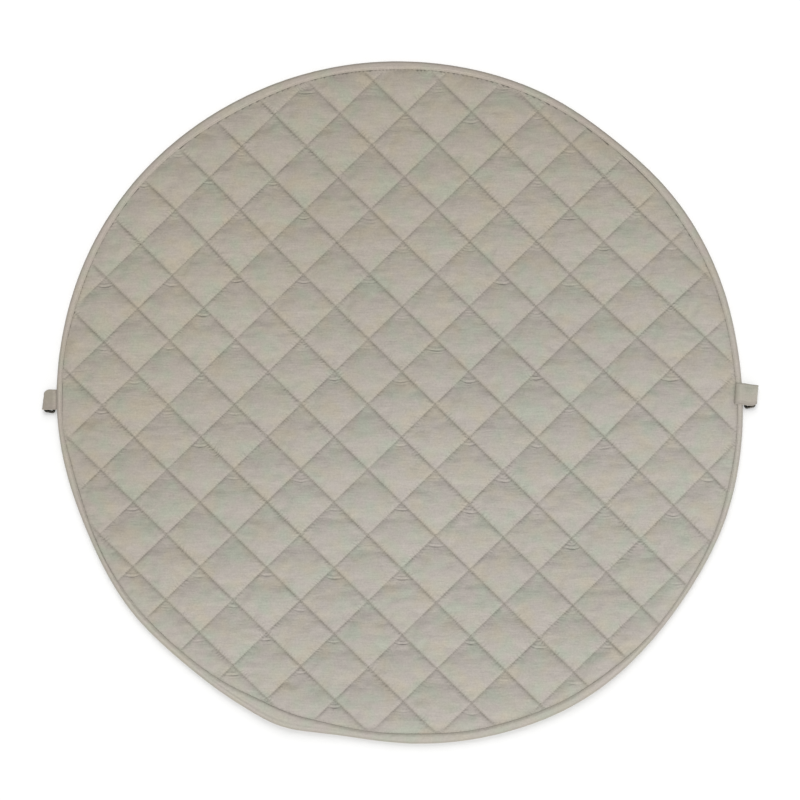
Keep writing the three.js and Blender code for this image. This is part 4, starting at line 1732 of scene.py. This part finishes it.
@dataclass(frozen=True)
class SoftLight:
    """A square soft light: the way that it comes from, how far off it is, its width, its power and its tint.

    It may throw shadows, and it may reach the floor alone.
    """

    name: str
    towards: float
    height_angle: float
    away: float
    width: float
    watts: float
    tint: tuple[float, float, float]
    shadows: bool
    floor_only: bool

    def place(self, floor: bpy.types.Collection) -> bpy.types.Object:
        """Puts the light up, aimed at the middle of the mat.

        Args:
            floor: what a light that is kept to the floor shines on.

        Returns:
            The light.
        """
        data = bpy.data.lights.new(self.name, "AREA")
        data.size = self.width
        data.energy = self.watts
        data.color = self.tint
        data.use_shadow = self.shadows
        light = bpy.data.objects.new(self.name, data)
        tilt = math.radians(90 - self.height_angle)
        turn = math.radians(self.towards)
        light.location = (
            self.away * math.sin(tilt) * math.cos(turn),
            self.away * math.sin(tilt) * math.sin(turn),
            self.away * math.cos(tilt),
        )
        light.rotation_euler = (0, tilt, turn)
        if self.floor_only:
            light.light_linking.receiver_collection = floor
        bpy.context.scene.collection.objects.link(light)
        return light


@dataclass
class Studio:
    """A pale floor, soft lights and a camera straight above the mat."""

    view_width: float = 1165.4
    view_x: float = -1.41
    view_y: float = 4.62
    lens: float = 85.0
    sensor: float = 36.0
    plane: float = 8.0
    floor_half: float = 4000.0
    floor_drop: float = 0.4
    room_strength: float = 0.6
    lights: tuple[SoftLight, ...] = (
        SoftLight("low_window", -82, 45, 9.0, 3.0, 565, (1.0, 0.998, 0.985), False, False),
        SoftLight("far_window", 92, 40, 8.0, 5.8, 450, (1.0, 1.0, 1.0), True, True),
    )

    def set_up(self) -> None:
        """Makes the floor, the lights, the pale world and the camera."""
        scene = bpy.context.scene
        scene.view_settings.view_transform = "Standard"
        ways = np.array([[-1, -1, 0], [1, -1, 0], [1, 1, 0], [-1, 1, 0]], float)
        corners = ways * self.floor_half - [0, 0, self.floor_drop]
        floor = Surface(corners, [np.array([[0, 1, 2, 3]])]).piece("pale_floor")
        material, sketch, shader = new_material("pale paper")
        spots = sketch.place("ShaderNodeTexCoord").outputs["Object"]
        grain = sketch.span(sketch.noise(spots, 40.0, 3.0), 0, 1, 0.69, 0.71)
        tone = sketch.place("ShaderNodeCombineColor", {0: grain, 1: grain, 2: grain}).outputs[0]
        sketch.tree.links.new(tone, shader.inputs["Base Color"])
        shader.inputs["Roughness"].default_value = 0.9
        shader.inputs["Specular IOR Level"].default_value = 0.1
        floor.data.materials.append(material)
        lit_floor = bpy.data.collections.new("lit floor")
        lit_floor.objects.link(floor)
        for light in self.lights:
            light.place(lit_floor)
        world = bpy.data.worlds.new("pale room")
        world.use_nodes = True
        background = world.node_tree.nodes["Background"]
        background.inputs["Color"].default_value = (1.0, 1.0, 1.0, 1.0)
        background.inputs["Strength"].default_value = self.room_strength
        scene.world = world
        camera_data = bpy.data.cameras.new("overhead")
        camera_data.lens = self.lens
        camera_data.sensor_width = self.sensor
        camera = bpy.data.objects.new("overhead", camera_data)
        distance = self.view_width * self.lens / self.sensor
        camera.location = (self.view_x * MM, self.view_y * MM, (distance + self.plane) * MM)
        scene.collection.objects.link(camera)
        scene.camera = camera


# The whole mat

# Each cotton's seam shade is the colour of its painted shade.
COTTON = CottonFinish(
    name="greige cotton face",
    base=paint(172, 170, 161),
    green=paint(165, 173, 156),
    warm=paint(184, 170, 150),
    rose=paint(180, 167, 163),
    seam_shade=paint(122, 116, 104),
    painted_shade_share=0.2,
    crumple_depth=0.72,
    far_and_rim_tint=(0.955, 0.93, 0.885, 1.0),
)
STRIP_COTTON = CottonFinish(
    name="greige cotton strip",
    base=paint(178, 175, 165),
    green=paint(172, 178, 162),
    warm=paint(186, 176, 160),
    rose=paint(185, 172, 168),
    seam_shade=paint(122, 116, 104),
    painted_shade_share=0.38,
    crumple_depth=0.35,
    far_and_rim_tint=(0.985, 0.95, 0.92, 1.0),
    by_strip=True,
)
THREAD = ThreadFinish("greige thread", paint(172, 167, 154), paint(158, 152, 139))
DARK_WIRE = WireFinish("dark plated wire", paint(44, 42, 38), paint(90, 84, 75))

LEFT_STATIONS = (
    Station(-11.5, -0.052, 1.0, -19.3, 8),
    Station(-0.9, -0.052, 1.0, -19.2, 8.4),
    Station(0.8, -0.052, 3.5, -16, 8.6),
    Station(2.0, -0.03, 4.8, -12, 8.7),
    Station(4.3, 0, 5.4, -8.9, 8.8),
    Station(6.2, 0.03, 4.85, -8.8, 8.9),
    Station(7.5, 0.05, 3.95, -8.7, 9.3),
    Station(10.4, 0.07, 2.1, -8.7, 10.1),
    Station(13.4, 0.07, 0.95, -8.7, 10.1),
    Station(16.7, 0.07, 0.85, -8.7, 10.1),
    Station(19.4, 0.07, 1.8, -9.6, 10.1),
    Station(20.4, 0.075, 4.0, -12.6, 10.1),
    Station(19.4, 0.08, 6.2, -15.4, 10.1),
    Station(17.1, 0.07, 7.1, -17.6, 10.1),
    Station(13.8, 0.04, 7.15, -18.7, 10.1),
    Station(9.5, 0, 7.15, -19.0, 9.5),
    Station(3.6, -0.03, 7.2, -19.1, 9.1),
    Station(1.0, -0.052, 6.2, -19.2, 8.8),
    Station(-0.5, -0.052, 4.5, -19.2, 8.4),
    Station(-1.75, -0.052, 2.75, -19.2, 8.2),
    Station(-11.5, -0.052, 2.75, -19.3, 8),
)
RIGHT_STATIONS = (
    Station(-12.6, 0, 9.75, -15.7, 14.2),
    Station(-2, 0, 9.75, -15.8, 14.2),
    Station(1, -0.06, 8.8, -15.9, 13),
    Station(3.6, -0.12, 6.9, -15.6, 8),
    Station(6, -0.158, 4.6, -15.1, 3.2),
    Station(8.6, -0.158, 2.4, -15, 2.9),
    Station(11.2, -0.158, 0.95, -15, 3.0),
    Station(14.6, -0.158, 0.8, -14.8, 3.4),
    Station(19, -0.12, 1.7, -14, 8),
    Station(21.4, 0, 4.0, -11.4, 12.6),
    Station(20.3, 0, 6.5, -13.8, 12.8),
    Station(16.8, 0, 7.4, -16, 13),
    Station(12, 0, 7.3, -16.8, 13.2),
    Station(8, 0, 7.8, -16.8, 13.5),
    Station(4.6, 0, 9, -16.4, 13.9),
    Station(1.8, 0, 10.6, -16, 14.1),
    Station(-1.8, 0, 11.45, -15.8, 14.2),
    Station(-12.6, 0, 11.45, -15.7, 14.2),
)


@dataclass
class PlayMat:
    """The whole mat: builds each sub-assembly, dresses it and ties it to the frame."""

    edge: EdgeShape = field(default_factory=EdgeShape)
    rows: QuiltRows = field(default_factory=QuiltRows)
    stitching: Stitching = field(default_factory=Stitching)

    def finish(self, piece: bpy.types.Object, material: bpy.types.Material, slot: str, *nodes: str) -> None:
        """Gives a piece its material and its body, and hides the nodes that it stands for.

        Args:
            piece: the piece.
            material: its finish.
            slot: not used.
            *nodes: the CAD nodes that it replaces.
        """
        piece.data.materials.append(material)
        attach(piece, BODY)
        if nodes:
            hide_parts(*nodes)
        LOG.info("%s: %d points, %d faces", piece.name, len(piece.data.vertices), len(piece.data.polygons))

    def build_pad(self, cotton: bpy.types.Material, thread: bpy.types.Material) -> None:
        """Builds the pad and its quilting thread."""
        pad = QuiltedPad(self.edge, self.rows)
        moves = FilledCloth().moves(pad)
        piece = pad.build(moves)
        self.finish(piece, cotton, "face_cotton", "quilted_pad")
        stitches = QuiltStitches(pad, self.stitching)
        for family in RowFamily:
            for above in (True, False):
                self.finish(stitches.build(family, above), thread, "face_cotton")

    def build_binding(self, cotton: bpy.types.Material, thread: bpy.types.Material) -> None:
        """Builds the binding and its row of stitching."""
        binding = EdgeBinding(self.edge)
        piece = binding.build()
        self.finish(piece, cotton, "binding_cotton", "edge_binding")
        middles, ways = binding.stitch_line(self.stitching.pitch)
        up = np.zeros_like(middles)
        up[:, 2] = 1.0
        stitches = self.stitching.surface(middles, ways, up).piece("binding_stitches")
        self.finish(stitches, thread, "binding_cotton")

    def build_side(
        self,
        side: Side,
        place: SideFrame,
        stations: tuple[Station, ...],
        ring_place: RingPlace,
        cotton: bpy.types.Material,
        wire: bpy.types.Material,
    ) -> None:
        """Builds one side's tab and ring."""
        tab = SideTab(side, place, stations)
        piece = tab.build()
        self.finish(piece, cotton, "binding_cotton", f"tab_{side.value}")
        path = tab.path()
        run = np.linalg.norm(np.diff(path[:, [0, 2]], axis=0), axis=1).sum()
        ring = WireRing(side, place, ring_place).build()
        self.finish(ring, wire, "dark_metal", f"ring_{side.value}")


def main() -> None:
    """Builds the studio and the mat."""
    logging.basicConfig(level=logging.INFO, format="%(name)s: %(message)s")
    Studio().set_up()
    groups = Groups.build()
    cotton = COTTON.build(groups)
    strip = STRIP_COTTON.build(groups)
    thread = THREAD.build()
    wire = DARK_WIRE.build()
    mat = PlayMat()
    mat.build_pad(cotton, thread)
    mat.build_binding(strip, thread)
    left = SideFrame(mat.edge, 180, -3, 0)
    right = SideFrame(mat.edge, 0, -4, 14.3)
    mat.build_side(Side.LEFT, left, LEFT_STATIONS, RingPlace(9.6, 0.2, -6, 2.1, 3.95), strip, wire)
    mat.build_side(Side.RIGHT, right, RIGHT_STATIONS, RingPlace(9.1, -6.7, 15, 2.1, 3.95), strip, wire)


if __name__ == "__main__":
    main()
